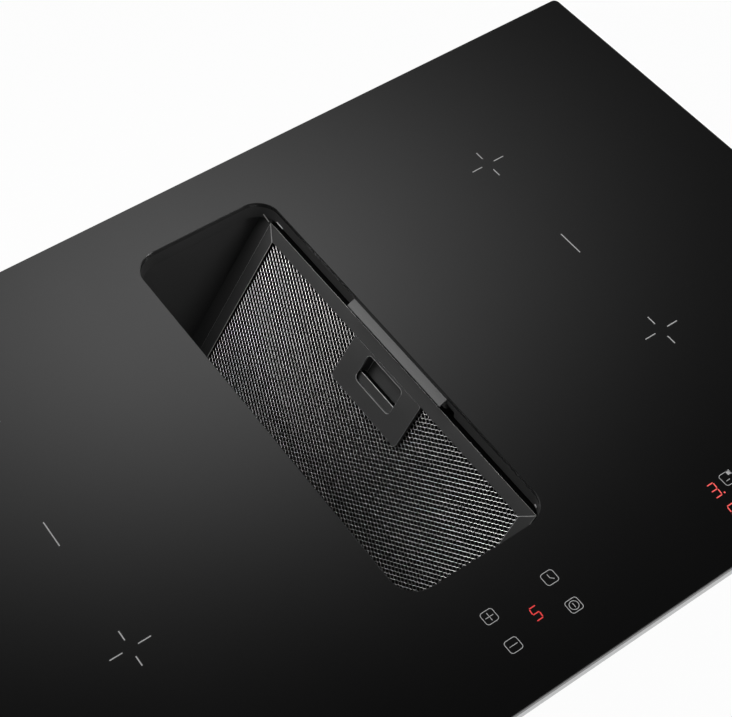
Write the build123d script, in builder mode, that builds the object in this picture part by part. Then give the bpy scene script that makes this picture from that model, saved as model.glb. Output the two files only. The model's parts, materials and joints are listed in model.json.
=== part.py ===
from build123d import *
import os
from math import cos, hypot, radians, sin

# A downdraft induction hob for an 800 mm wide place. Millimetres, +Z up, +X to the user's right,
# +Y to the rear. The origin is the middle of the hob in the worktop's top plane, so the seal and
# the glass lie above z = 0 and everything else hangs below it.

os.makedirs("parts", exist_ok=True)

# ---------------------------------------------------------------- shared clearances
fit_gap = 0.3            # between neighbours that are put together by hand
running_gap = 0.05       # radial, a shaft in its bore
hole_gap = 0.1           # radial, a screw in its hole
root = 0.5               # how deep a rib is rooted in the wall that carries it

# ---------------------------------------------------------------- filter cassette
slope = 54.7
filter_length = 200.0
filter_end_gap = 11.5        # from the vent's end to the filter
filter_thickness = 12.0
filter_side_gap = 2.2        # from the vent's right edge to the filter's upper edge
filter_low_gap = 4.23        # from the vent's left edge to the filter's lower edge
filter_drop = 19.5
rail_width = 11.0
rail_sheet = 0.8
mitre_gap = 0.1
mesh_recess = 3.0
mesh_sheet = 0.8

filter_run = filter_length * cos(radians(slope))
filter_fall = filter_length * sin(radians(slope))
filter_stance = filter_thickness / 2 * cos(radians(slope))

# ---------------------------------------------------------------- glass, seal, vent
glass_width = 800.0
glass_depth = 515.0
glass_thickness = 4.0
glass_corner_radius = 5.0
glass_arris = 0.5
seal_thickness = 1.5
seal_width = 10.0
seal_inset = 2.0
vent_radius = 20.0
vent_front_inset = 104.5     # from the glass's front edge
vent_rear_inset = 50.5

glass_bottom = seal_thickness
glass_top = glass_bottom + glass_thickness
vent_width = round(filter_run + filter_side_gap + filter_low_gap, 1)
vent_edge = vent_width / 2
vent_length = glass_depth - vent_front_inset - vent_rear_inset
filter_width = vent_length - 2 * filter_end_gap
vent_y = (vent_front_inset - vent_rear_inset) / 2

# ---------------------------------------------------------------- collar and keeper
collar_wall = 2.0
collar_flange = 14.0
collar_depth = 10.0
notch_length = 9.0
notch_depth = 6.0
keeper_length = 116.0
keeper_offset = -3.0
keeper_sheet = 1.2
keeper_lip = 6.5
keeper_fall = 3.0
keeper_leg = 9.0
rivet_radius = 1.2
rivet_head_radius = 1.6
rivet_head = 0.8
rivet_spacing = 90.0
rivet_z = -7.3

keeper_y = vent_y + keeper_offset

# ---------------------------------------------------------------- grip on the filter
plate_length = 83.6
plate_reach = 40.2
plate_radius = 4.0
grip_length = 43.5
grip_height = 23.5
grip_start = 13.6
grip_radius = 4.0
grip_depth = 10.2
cup_wall = 1.2
cup_floor = 0.8
slider_bar_start = 30.2
slider_bar_height = 7.8
slider_bar_depth = 2.7
slider_arm_width = 5.5
slider_arm_thickness = 3.0
slider_arm_depth = 5.0
tongue_reach = 4.0
latch_travel = 4.0
spring_room = 10.4
spring_radius = 1.4
spring_wire = 0.25
spring_turns = 5
arm_clearance = 1.0         # a latch arm beside the finger well

# ---------------------------------------------------------------- well and drip tray
well_wall = 2.5
well_top = -3.0
well_side_room = 13.5
well_floor_gap = 9.3         # under the filter's lower edge
seat_gap = 0.3
seat_thickness = 3.0
seat_overlap = 7.5
seat_flange_drop = 1.0
groove_gap = 0.5
groove_block = 20.0
drain_slots = 5
drain_length = 24.0
drain_width = 3.0
drain_pitch = 60.0
seat_start = 4.0
seat_end = 8.0
flange_rise = 2.0
tray_end_gap = 5.0
tray_height = 18.0
tray_wall = 1.5
tray_gap = 2.0              # air between the well and the drip tray
tray_grip = 10.0
tray_lip = 3.5
tray_lip_thickness = 1.2
runner_thickness = 2.5
runner_foot = 3.0

well_floor = round(glass_top - filter_drop - filter_fall - filter_stance - well_floor_gap, 1)
well_left = -(vent_edge + collar_wall + fit_gap)
well_right = vent_edge + well_side_room
well_outer_left = well_left - well_wall
well_outer_right = well_right + well_wall
tray_length = vent_length - 2 * tray_end_gap

# ---------------------------------------------------------------- blower
blower_shift = 17.0          # the blower sits this far in front of the vent's middle
blower_height = 62.0         # over the well's floor
impeller_radius = 52.0
impeller_gap = 8.0
volute_step = 5.0
scroll_width = 90.0
scroll_wall = 2.0
scroll_exit = 95.0
exit_height = 85.0
exit_rise = 12.5
inlet_radius = 48.0
inlet_ring_wall = 2.0
inlet_ring_reach = 8.0
inlet_ring_narrowing = 4.0
impeller_front_gap = 10.0
impeller_back_gap = 8.0
blade_count = 32
blade_chord = 9.0
blade_thickness = 1.2
blade_pitch = 30.0
ring_thickness = 2.0
shaft_radius = 4.0
hub_radius = 10.0
hub_length = 30.0
motor_radius = 42.0
motor_length = 55.0
motor_end_wall = 6.0
motor_edge_radius = 6.0
motor_slots = 12
motor_slot_width = 5.0
motor_slot_depth = 4.0
motor_boss_radius = 14.0
motor_screw_circle = 36.0
motor_screw_radius = 2.0
motor_screw_reach = 10.0
motor_screw_head = 2.0
hanger_sheet = 2.0
hanger_width = 40.0
hanger_lap = 8.0
duct_width = 222.0
duct_height = 89.0
duct_wall = 2.0
duct_flare = 90.0
duct_spigot = 48.0
duct_offset = 3.0

blower_y = vent_y - blower_shift
blower_z = well_floor + blower_height

# ---------------------------------------------------------------- base casing
side_overlap = 28.0          # the glass beyond the casing
end_overlap = 15.5
casing_height = 52.0
casing_sheet = 1.0
casing_radius = 6.0
casing_flange = 8.0
cooling_slots = 7
cooling_slot_length = 56.0
cooling_slot_width = 4.0
cooling_slot_pitch = 9.0
clamp_hole_radius = 2.0
clamp_hole_spacing = 300.0
clamp_hole_z = -26.0
side_spring_spacing = 260.0
side_spring_width = 16.0
side_spring_sheet = 0.8
side_spring_bulge = 2.4
side_spring_foot_gap = 0.2
side_spring_tab = 12.0
side_spring_length = 36.0
side_spring_top = -8.0
side_screw_radius = 1.5
side_screw_head_radius = 3.2
side_screw_head = 1.6
side_screw_length = 6.0

casing_width = glass_width - 2 * side_overlap
casing_depth = glass_depth - 2 * end_overlap

# ---------------------------------------------------------------- coils and electronics
coil_rear_inset = 30.3       # from the glass's edges to the coils
coil_front_inset = 85.3
coil_gap = 19.4              # between the front and the rear coil
coil_eye = 24.0
coil_tray_sheet = 1.5
coil_tray_side_gap = 13.5
coil_tray_well_gap = 19.2
coil_tray_end_gap = 7.0
winding_height = 4.5
winding_margin = 3.0
carrier_height = 2.5
carrier_slot_margin = 8.0
carrier_slot_width = 14.0
ferrite_height = 5.0
ferrite_margin = 6.5
ferrite_width = 12.0
ferrite_count = 8
cable_hole_radius = 12.0
glass_gap = 0.1              # the glass bears on the mica and the sensors
mica_sheet = 0.7
mica_side_gap = 10.0
mica_end_gap = 2.0
mica_gap = 0.2
sensor_radius = 7.0
sensor_flange_radius = 10.0
sensor_flange = 1.5
board_sheet = 1.6
board_side_gap = 30.0
board_front_gap = 11.0
board_rear_gap = 15.0
board_lift = 6.0
standoff_radius = 3.0
standoff_inset = 8.0
part_pitch = 60.0
capacitor_radius = 9.0
capacitor_height = 24.0
relay_size = (20.0, 26.0, 18.0)
relay_shift = 30.0
heat_sink_width = 60.0
heat_sink_length = 180.0
heat_sink_height = 26.0
heat_sink_fins = 11
heat_sink_base = 5.0
heat_sink_inset = 15.0
fan_size = 80.0
fan_height = 25.0
fan_rear_gap = 9.0
fan_bore = 37.5
fan_hub_radius = 16.0
fan_blades = 7
fan_plate = 3.0
fan_frame_radius = 4.0
fan_strut_width = 5.0
fan_pin_radius = 1.5
fan_gap = 1.0                # axial, rotor in its housing
fan_blade_thickness = 1.6
fan_blade_pitch = 35.0
touch_inset = 46.5           # from the glass's front edge to the touch board's middle
touch_width = 420.0
touch_depth = 52.0
touch_lift = -7.5
holder_rim = 2.0
holder_floor = 1.5
holder_height = 5.5
holder_post_radius = 4.0
holder_post_inset_x = 15.0
holder_post_inset_y = 10.0
digit_width = 13.0
digit_depth = 16.0
side_digit_x = 164.0
digit_shift = 4.0            # from the touch board's middle to the rear row of digits
digit_row_pitch = 17.0

coil_radius = (glass_depth - coil_rear_inset - coil_front_inset - coil_gap) / 4
zone_rear_y = glass_depth / 2 - coil_rear_inset - coil_radius
zone_front_y = coil_front_inset + coil_radius - glass_depth / 2
coil_tray_outer = casing_width / 2 - casing_sheet - coil_tray_side_gap
coil_tray_inner = well_outer_right + fit_gap + casing_sheet + coil_tray_well_gap
coil_tray_width = coil_tray_outer - coil_tray_inner
zone_x = (coil_tray_outer + coil_tray_inner) / 2
touch_y = touch_inset - glass_depth / 2
coil_tray_front = touch_y + touch_depth / 2 + holder_rim + coil_tray_end_gap
coil_tray_rear = casing_depth / 2 - casing_sheet - coil_tray_end_gap
mica_width = coil_tray_width - 2 * mica_side_gap
fan_y = coil_tray_rear - fan_rear_gap - fan_size / 2
board_width = coil_tray_width - 2 * board_side_gap
board_front = coil_tray_front + board_front_gap
board_rear = fan_y - fan_size / 2 - board_rear_gap
board_middle = (board_front + board_rear) / 2
heat_sink_shift = (board_width - heat_sink_width) / 2 - heat_sink_inset
digit_y = touch_y + digit_shift
side_digit_front_y = digit_y - digit_row_pitch

# ---------------------------------------------------------------- boxes under the casing
terminal_side_gap = 4.0      # from the casing's edges
terminal_rear_gap = 7.0
terminal_width = 100.0
terminal_depth = 70.0
terminal_height = 36.0
clamp_block = (70.0, 24.0, 18.0)
clamp_block_shift = 10.0
clamp_count = 5
clamp_pitch = 12.0
clamp_screw_radius = 3.5
clamp_screw_depth = 6.0
box_wall = 2.0
gland_radius = 12.0
gland_length = 18.0
gland_bore = 6.5
gland_thread_radius = 9.8
gland_nut = 5.0
gland_step = 1.5
control_gap = 34.2           # from the well
control_y = 40.0
control_width = 130.0
control_depth = 170.0
control_height = 40.0
control_radius = 5.0

terminal_x = terminal_side_gap + (terminal_width - casing_width) / 2
terminal_y = (casing_depth - terminal_depth) / 2 - terminal_rear_gap
control_x = well_outer_left - control_gap - control_width / 2


standing = (Align.CENTER, Align.CENTER, Align.MIN)
hanging = (Align.CENTER, Align.CENTER, Align.MAX)


# A box by its two opposite corners, for use inside a part.
def block(low, high, mode=Mode.ADD):
    size = [b - a for a, b in zip(low, high)]
    middle = [(a + b) / 2 for a, b in zip(low, high)]
    with Locations(tuple(middle)):
        Box(*size, mode=mode)


# Writes one finished piece under its node name.
def save(piece, name):
    piece.part.label = name
    export_step(piece.part, f"parts/{name}.step")


# ================================================================ glass, seal, collar, keeper
with BuildPart() as glass:
    with BuildSketch(Plane.XY.offset(glass_bottom)):
        RectangleRounded(glass_width, glass_depth, glass_corner_radius)
        with Locations((0, vent_y)):
            RectangleRounded(vent_width, vent_length, vent_radius, mode=Mode.SUBTRACT)
    extrude(amount=glass_thickness)
    chamfer(glass.edges().group_by(Axis.Z)[-1], glass_arris)
save(glass, "glass_top")

seal_outer = (glass_width - 2 * seal_inset, glass_depth - 2 * seal_inset)
with BuildPart() as seal:
    with BuildSketch(Plane.XY):
        Rectangle(*seal_outer)
        Rectangle(seal_outer[0] - 2 * seal_width, seal_outer[1] - 2 * seal_width, mode=Mode.SUBTRACT)
    extrude(amount=seal_thickness)
save(seal, "worktop_seal")

keeper_front = keeper_y - keeper_length / 2
rivet_places = [keeper_y - rivet_spacing / 2, keeper_y + rivet_spacing / 2]
with BuildPart() as collar:
    with BuildSketch(Plane.XY.offset(-collar_depth)):
        with Locations((0, vent_y)):
            RectangleRounded(
                vent_width + 2 * collar_wall, vent_length + 2 * collar_wall, vent_radius + collar_wall
            )
    extrude(amount=collar_depth + glass_bottom)
    with BuildSketch(Plane.XY):
        with Locations((0, vent_y)):
            RectangleRounded(
                vent_width + 2 * collar_flange, vent_length + 2 * collar_flange, vent_radius + collar_flange
            )
    extrude(amount=glass_bottom)
    with BuildSketch(Plane.XY.offset(-collar_depth)):
        with Locations((0, vent_y)):
            RectangleRounded(vent_width, vent_length, vent_radius)
    extrude(amount=collar_depth + glass_bottom, mode=Mode.SUBTRACT)
    # the notch in front of the keeper
    block(
        (vent_edge - 1, keeper_front - notch_length, -collar_depth - 1),
        (vent_edge + collar_wall + 1, keeper_front - fit_gap, notch_depth - collar_depth),
        Mode.SUBTRACT,
    )
    with Locations(*[Location((vent_edge, y, rivet_z), (0, 90, 0)) for y in rivet_places]):
        Cylinder(rivet_radius + hole_gap, 4 * collar_wall, mode=Mode.SUBTRACT)
save(collar, "intake_collar")

# The keeper hangs on the collar's right wall. Its leg hides behind the sloping lip.
keeper_top = glass_bottom - fit_gap
lip_drop = keeper_sheet * hypot(keeper_lip, keeper_fall) / keeper_lip
leg_face = vent_edge - keeper_sheet
lip_slope = keeper_fall / keeper_lip
with BuildPart() as keeper:
    with BuildSketch(Plane.XZ.offset(-keeper_front)):
        with BuildLine():
            Polyline(
                (vent_edge, keeper_top),
                (vent_edge - keeper_lip, keeper_top - keeper_fall),
                (vent_edge - keeper_lip, keeper_top - keeper_fall - lip_drop),
                (leg_face, keeper_top - lip_slope * keeper_sheet - lip_drop),
                (leg_face, -keeper_leg),
                (vent_edge, -keeper_leg),
                close=True,
            )
        make_face()
    extrude(amount=-keeper_length)
    with Locations(*[Location((vent_edge, y, rivet_z), (0, 90, 0)) for y in rivet_places]):
        Cylinder(rivet_radius + hole_gap, 4 * collar_wall, mode=Mode.SUBTRACT)
save(keeper, "latch_keeper")

grip_of_rivet = keeper_sheet + collar_wall
rivet_middle = (leg_face + vent_edge + collar_wall) / 2
head_shift = (grip_of_rivet + rivet_head) / 2
with BuildPart() as rivets:
    with Locations(*[Location((rivet_middle, y, rivet_z), (0, 90, 0)) for y in rivet_places]):
        Cylinder(rivet_radius, grip_of_rivet + rivet_head)
        with Locations((0, 0, head_shift), (0, 0, -head_shift)):
            Cylinder(rivet_head_radius, rivet_head)
save(rivets, "keeper_rivets")

# ================================================================ the filter's plane
# In this plane x runs down the slope from the filter's upper right edge, y to the front,
# and z out of the filter's face, up and to the left.
slope_cos = cos(radians(slope))
slope_sin = sin(radians(slope))
face = Plane(
    origin=(vent_edge - filter_side_gap, vent_y, glass_top - filter_drop),
    x_dir=(-slope_cos, 0, -slope_sin),
    z_dir=(-slope_sin, 0, slope_cos),
)
half_width = filter_width / 2
pivot = face.from_local_coords((filter_length, 0, -filter_thickness / 2))
print("filter pivot", [round(v, 3) for v in pivot])
print("latch direction", [round(v, 5) for v in face.x_dir])


# A box in the filter's plane, by its lowest and highest corner there.
def face_block(low, high, mode=Mode.ADD):
    size = [b - a for a, b in zip(low, high)]
    middle = [(a + b) / 2 for a, b in zip(low, high)]
    with Locations(face.location * Location(tuple(middle))):
        Box(*size, mode=mode)


# ================================================================ filter rails
arm_outer = grip_length / 2 + cup_wall + arm_clearance + slider_arm_width
arm_inner = arm_outer - slider_arm_width
arm_middle = (arm_outer + arm_inner) / 2
arm_bottom = -slider_arm_depth - slider_arm_thickness


# One rail, a channel that opens inwards, cut to 45 degrees at both ends. The corners are those
# of its face, and hollow is the rectangle that its open side takes away.
def build_rail(corners, hollow_low, hollow_high):
    with BuildPart() as rail:
        with BuildSketch(face.offset(-filter_thickness)):
            with BuildLine():
                Polyline(*corners, close=True)
            make_face()
        extrude(amount=filter_thickness)
        face_block(
            (*hollow_low, rail_sheet - filter_thickness), (*hollow_high, -rail_sheet), Mode.SUBTRACT
        )
    return rail


inner_half = half_width - rail_width
for name, outer_x, inner_x, web_x in [
    ("upper", 0, rail_width, rail_sheet),
    ("lower", filter_length, filter_length - rail_width, filter_length - rail_sheet),
]:
    corners = [
        (outer_x, half_width - mitre_gap),
        (outer_x, mitre_gap - half_width),
        (inner_x, mitre_gap - inner_half),
        (inner_x, inner_half - mitre_gap),
    ]
    deep = inner_x + (1 if inner_x > web_x else -1)
    rail = build_rail(
        corners,
        (min(web_x, deep), -half_width - 1),
        (max(web_x, deep), half_width + 1),
    )
    if name == "upper":
        with rail:
            for side in (1, -1):
                face_block(
                    (-1, side * arm_middle - slider_arm_width / 2 - fit_gap, arm_bottom - fit_gap),
                    (2, side * arm_middle + slider_arm_width / 2 + fit_gap, fit_gap - slider_arm_depth),
                    Mode.SUBTRACT,
                )
    save(rail, f"filter_rail_{name}")

for name, side in [("front", 1), ("rear", -1)]:
    corners = [
        (mitre_gap, side * half_width),
        (filter_length - mitre_gap, side * half_width),
        (filter_length - rail_width - mitre_gap, side * inner_half),
        (rail_width + mitre_gap, side * inner_half),
    ]
    web = side * (half_width - rail_sheet)
    deep = side * (inner_half - 1)
    rail = build_rail(corners, (-1, min(web, deep)), (filter_length + 1, max(web, deep)))
    save(rail, f"filter_rail_{name}")

# ================================================================ meshes
# The front and back mesh are expanded sheets with the inner pack between them. All three leave
# room for the grip cup and the latch arms.
bar_end = slider_bar_start + slider_bar_height
spring_end = bar_end + spring_room + fit_gap
cup_end = spring_end + cup_wall
cup_side = arm_outer + fit_gap + cup_wall
mesh_edge = rail_sheet + fit_gap
pack_bottom = 2 * rail_sheet - filter_thickness
pack_top = -mesh_recess - mesh_sheet
for name, low, high in [
    ("front_mesh", pack_top, -mesh_recess),
    ("mesh_pack", pack_bottom, pack_top),
    ("back_mesh", pack_bottom - rail_sheet, pack_bottom),
]:
    with BuildPart() as mesh:
        face_block(
            (mesh_edge, mesh_edge - half_width, low),
            (filter_length - mesh_edge, half_width - mesh_edge, high),
        )
        face_block(
            (-1, -cup_side - fit_gap, low - 1),
            (cup_end + fit_gap, cup_side + fit_gap, high + 1),
            Mode.SUBTRACT,
        )
    save(mesh, name)

# ================================================================ handle plate, cup, slider, springs
plate_start = rail_width + fit_gap
plate_end = plate_start + plate_reach
grip_middle = grip_start + grip_height / 2
with BuildPart() as plate:
    with BuildSketch(face.offset(-mesh_recess)):
        with Locations(((plate_start + plate_end) / 2, 0)):
            Rectangle(plate_reach, plate_length)
    extrude(amount=mesh_recess)
    corners = plate.edges().filter_by(Axis(face.origin, face.z_dir))
    fillet(corners.sort_by(Axis(face.origin, face.x_dir))[-2:], plate_radius)
    face_block(
        (plate_start - 1, rail_sheet - plate_length / 2, -mesh_recess - 1),
        (plate_end - rail_sheet, plate_length / 2 - rail_sheet, -rail_sheet),
        Mode.SUBTRACT,
    )
    with BuildSketch(face.offset(-mesh_recess)):
        with Locations((grip_middle, 0)):
            RectangleRounded(grip_height, grip_length, grip_radius)
    extrude(amount=mesh_recess + 1, mode=Mode.SUBTRACT)
save(plate, "handle_plate")

# The cup is a moulded block under the plate: the finger well in the middle, and beside it a
# channel for each latch arm and its spring.
cup_top = -rail_sheet - hole_gap
cup_bottom = -grip_depth - cup_floor
cup_start = grip_start - cup_wall
cavity_end = bar_end + latch_travel + arm_clearance
with BuildPart() as cup:
    face_block((cup_start, -cup_side, cup_bottom), (cup_end, cup_side, cup_top))
    face_block((grip_start, -grip_length / 2, -grip_depth), (cavity_end, grip_length / 2, 1), Mode.SUBTRACT)
    for side in (1, -1):
        face_block(
            (cup_start - 1, side * arm_middle - slider_arm_width / 2 - fit_gap, arm_bottom - fit_gap),
            (spring_end, side * arm_middle + slider_arm_width / 2 + fit_gap, 1),
            Mode.SUBTRACT,
        )
    # the bar crosses the walls between the finger well and the channels
    face_block(
        (slider_bar_start - fit_gap, -arm_inner, arm_bottom - fit_gap),
        (cavity_end, arm_inner, 1),
        Mode.SUBTRACT,
    )
save(cup, "handle_cup")

with BuildPart() as slider:
    face_block((slider_bar_start, -arm_outer, arm_bottom), (bar_end, arm_outer, -slider_bar_depth))
    for side in (1, -1):
        face_block(
            (-tongue_reach, side * arm_middle - slider_arm_width / 2, arm_bottom),
            (bar_end, side * arm_middle + slider_arm_width / 2, -slider_arm_depth),
        )
save(slider, "latch_slider")

spring_level = -slider_arm_depth - slider_arm_thickness / 2
spring_height = spring_room - 2 * spring_wire - fit_gap
with BuildPart() as springs:
    for side in (1, -1):
        coil_start = (bar_end + spring_wire + fit_gap / 2, side * arm_middle, spring_level)
        with BuildLine() as coil:
            Helix(
                spring_height / spring_turns,
                spring_height,
                spring_radius,
                center=face.from_local_coords(coil_start),
                direction=face.x_dir,
            )
        with BuildSketch(Plane(origin=coil.line @ 0, z_dir=coil.line % 0)):
            Circle(spring_wire)
        sweep(path=coil.line)
save(springs, "latch_springs")

# ================================================================ well
well_front = vent_y - vent_length / 2 - collar_wall - fit_gap
well_rear = vent_y + vent_length / 2 + collar_wall + fit_gap
well_outer_front = well_front - well_wall
well_outer_rear = well_rear + well_wall
well_bottom = well_floor - well_wall
seat_level = -filter_thickness - seat_gap
well_half = vent_length / 2 + collar_wall + fit_gap
groove_radius = filter_thickness / 2 + groove_gap

tray_half = vent_edge - 1
tray_lip_edge = tray_half + tray_lip
tray_top = well_bottom - tray_gap
foot_top = tray_top - tray_lip_thickness - fit_gap
runner_inner = tray_lip_edge + fit_gap
tray_front = vent_y - tray_length / 2

with BuildPart() as well:
    # the block with the round groove that the filter's lower edge stands in
    block(
        (well_left - root, well_front - root, well_floor - root),
        (well_left + groove_block, well_rear + root, pivot.Z - groove_gap),
    )
    face_block(
        (0, -well_half - well_wall, seat_level),
        (filter_length, well_half + well_wall, 0),
        Mode.SUBTRACT,
    )
    with Locations(Location((pivot.X, vent_y, pivot.Z), (90, 0, 0))):
        Cylinder(groove_radius, 4 * well_half, mode=Mode.SUBTRACT)
    # the six walls
    for low, high in [
        ((well_outer_left, well_outer_front, well_bottom), (well_left, well_outer_rear, well_top)),
        ((well_right, well_outer_front, well_bottom), (well_outer_right, well_outer_rear, well_top)),
        ((well_left, well_outer_front, well_bottom), (well_right, well_front, well_top)),
        ((well_left, well_rear, well_bottom), (well_right, well_outer_rear, well_top)),
        ((well_left, well_front, well_bottom), (well_right, well_rear, well_floor)),
        ((well_left, well_front, well_top - well_wall), (well_right, well_rear, well_top)),
    ]:
        block(low, high)
    # the mouth that the collar stands in
    with BuildSketch(Plane.XY.offset(well_top - well_wall - 1)):
        with Locations((0, vent_y)):
            RectangleRounded(
                vent_width + 2 * (collar_wall + fit_gap),
                vent_length + 2 * (collar_wall + fit_gap),
                vent_radius + collar_wall + fit_gap,
            )
    extrude(amount=well_wall + 2, mode=Mode.SUBTRACT)
    # sloping end flanges with the seat that carries the filter's end rails
    for side in (1, -1):
        outer = side * (well_half + root)
        flange = side * (half_width + groove_gap)
        seat = side * (half_width - seat_overlap)
        seat_floor = seat_level - seat_thickness
        face_block(
            (-flange_rise, min(outer, flange), seat_floor),
            (filter_length, max(outer, flange), -seat_flange_drop),
        )
        face_block(
            (seat_start, min(outer, seat), seat_floor),
            (filter_length - seat_end, max(outer, seat), seat_level),
        )
    # the round window to the blower
    with Locations(Location((well_right, blower_y, blower_z), (0, 90, 0))):
        Cylinder(inlet_radius, 4 * well_wall, mode=Mode.SUBTRACT)
    # drains over the drip tray
    with Locations((pivot.X, vent_y, well_floor)):
        with GridLocations(0, drain_pitch, 1, drain_slots):
            Box(drain_width, drain_length, 8 * well_wall, mode=Mode.SUBTRACT)
    # runners for the drip tray's lips
    for side in (1, -1):
        outer = side * (runner_inner + runner_thickness)
        inner = side * runner_inner
        foot = side * (runner_inner - runner_foot)
        foot_bottom = foot_top - runner_thickness
        for low_x, top in [(inner, well_bottom + root), (foot, foot_top)]:
            block(
                (min(outer, low_x), tray_front, foot_bottom),
                (max(outer, low_x), tray_front + tray_length, top),
            )
save(well, "well_housing")

# ================================================================ drip tray
tray_bottom = tray_top - tray_height
with BuildPart() as tray:
    block((-tray_half, tray_front, tray_bottom), (tray_half, tray_front + tray_length, tray_top))
    block(
        (-tray_lip_edge, tray_front, tray_top - tray_lip_thickness),
        (tray_lip_edge, tray_front + tray_length, tray_top),
    )
    block(
        (tray_wall - tray_half, tray_front + tray_wall, tray_bottom + tray_wall),
        (tray_half - tray_wall, tray_front + tray_length - tray_wall, tray_top + 1),
        Mode.SUBTRACT,
    )
    # finger lip on the front wall
    block(
        (-tray_half / 2, tray_front - tray_grip, tray_top - 2 * tray_wall),
        (tray_half / 2, tray_front + tray_wall, tray_top - tray_wall),
    )
save(tray, "drip_tray")

# ================================================================ blower scroll
# The scroll's air space, drawn in the plane of the well's right wall: x to the rear, y up.
# Three quarter arcs step outwards by volute_step each, then the air leaves to the rear.
scroll_left = well_outer_right
scroll_right = scroll_left + scroll_width
blower = Plane(origin=(scroll_left, blower_y, blower_z), x_dir=(0, 1, 0), z_dir=(1, 0, 0))
half_step = volute_step / 2
quarter_1 = impeller_radius + impeller_gap
quarter_2 = quarter_1 + volute_step
quarter_3 = quarter_2 + volute_step
exit_floor = exit_rise - exit_height
with BuildSketch() as scroll_air:
    with BuildLine():
        CenterArc((-half_step, half_step), quarter_1, 0, 90)
        CenterArc((-half_step, -half_step), quarter_2, 90, 90)
        third = CenterArc((half_step, -half_step), quarter_3, 180, 90)
        Polyline(
            third @ 1,
            (half_step + volute_step, exit_floor),
            (scroll_exit, exit_floor),
            (scroll_exit, exit_rise),
            (quarter_1 + volute_step, exit_rise),
            (quarter_1 - half_step, half_step),
        )
    make_face()
with BuildSketch() as scroll_skin:
    add(scroll_air.sketch_local)
    offset(amount=scroll_wall)
    with Locations((scroll_exit + 2 * scroll_wall, 0)):
        Rectangle(4 * scroll_wall, 4 * quarter_3, mode=Mode.SUBTRACT)

with BuildPart() as scroll:
    with BuildSketch(blower):
        add(scroll_skin.sketch_local)
    extrude(amount=scroll_width)
    with BuildSketch(blower.offset(scroll_wall)):
        add(scroll_air.sketch_local)
    extrude(amount=scroll_width, mode=Mode.SUBTRACT)
    with BuildSketch(blower):
        Circle(inlet_radius)
    extrude(amount=2 * scroll_wall, mode=Mode.SUBTRACT)
save(scroll, "scroll_housing")

with BuildPart() as scroll_cover:
    with BuildSketch(blower.offset(scroll_width)):
        add(scroll_skin.sketch_local)
        Circle(motor_boss_radius + fit_gap, mode=Mode.SUBTRACT)
        with PolarLocations(motor_screw_circle, 4, 45):
            Circle(motor_screw_radius + hole_gap, mode=Mode.SUBTRACT)
    extrude(amount=scroll_wall)
save(scroll_cover, "scroll_cover")

# The inlet ring stands in the window and narrows towards the impeller.
ring_outer = inlet_radius - hole_gap
ring_throat = ring_outer - inlet_ring_narrowing
ring_step = inlet_ring_reach / 2
with BuildPart() as inlet_ring:
    with BuildSketch(Plane(origin=(scroll_left, blower_y, blower_z), x_dir=(1, 0, 0), z_dir=(0, -1, 0))):
        with BuildLine():
            Polyline(
                (-well_wall, ring_outer),
                (ring_step, ring_outer),
                (inlet_ring_reach, ring_throat),
                (inlet_ring_reach, ring_throat - inlet_ring_wall),
                (ring_step, ring_outer - inlet_ring_wall),
                (-well_wall, ring_outer - inlet_ring_wall),
                close=True,
            )
        make_face()
    revolve(axis=Axis((scroll_left, blower_y, blower_z), (1, 0, 0)))
save(inlet_ring, "inlet_ring")

# ================================================================ impeller, shaft, motor
impeller_start = impeller_front_gap
impeller_end = scroll_width - impeller_back_gap
with BuildPart() as impeller:
    with BuildSketch(blower.offset(impeller_start)):
        Circle(impeller_radius)
        Circle(impeller_radius - blade_chord, mode=Mode.SUBTRACT)
    extrude(amount=ring_thickness)
    with BuildSketch(blower.offset(impeller_end - ring_thickness)):
        Circle(impeller_radius)
    extrude(amount=ring_thickness)
    with BuildSketch(blower.offset(impeller_start)):
        with PolarLocations(impeller_radius - blade_chord / 2, blade_count):
            Rectangle(blade_chord * 0.9, blade_thickness, rotation=blade_pitch)
    extrude(amount=impeller_end - impeller_start)
    with BuildSketch(blower.offset(impeller_end)):
        Circle(hub_radius)
    extrude(amount=-hub_length)
    with BuildSketch(blower.offset(impeller_start)):
        Circle(shaft_radius + running_gap)
    extrude(amount=scroll_width, mode=Mode.SUBTRACT)
save(impeller, "impeller")

shaft_start = impeller_end - hub_length
shaft_end = scroll_width + scroll_wall + motor_length - motor_end_wall
with BuildPart() as shaft:
    with BuildSketch(blower.offset(shaft_start)):
        Circle(shaft_radius)
    extrude(amount=shaft_end - shaft_start)
save(shaft, "motor_shaft")

motor_face = scroll_width + scroll_wall
with BuildPart() as motor:
    with BuildSketch(blower.offset(motor_face)):
        Circle(motor_radius)
    extrude(amount=motor_length)
    fillet(motor.edges().sort_by(Axis.X)[-1], motor_edge_radius)
    with BuildSketch(blower.offset(motor_face)):
        Circle(motor_boss_radius)
    extrude(amount=-scroll_wall)
    with BuildSketch(blower.offset(motor_face - scroll_wall)):
        Circle(shaft_radius + running_gap)
    extrude(amount=motor_length + scroll_wall - motor_end_wall + hole_gap, mode=Mode.SUBTRACT)
    # cooling slots round the can
    with BuildSketch(blower.offset(motor_face + motor_length / 3)):
        with PolarLocations(motor_radius, motor_slots):
            Rectangle(2 * motor_slot_depth, motor_slot_width)
    extrude(amount=motor_length / 3, mode=Mode.SUBTRACT)
    with BuildSketch(blower.offset(motor_face)):
        with PolarLocations(motor_screw_circle, 4, 45):
            Circle(motor_screw_radius + hole_gap)
    extrude(amount=motor_screw_reach + motor_screw_head, mode=Mode.SUBTRACT)
save(motor, "blower_motor")

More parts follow.
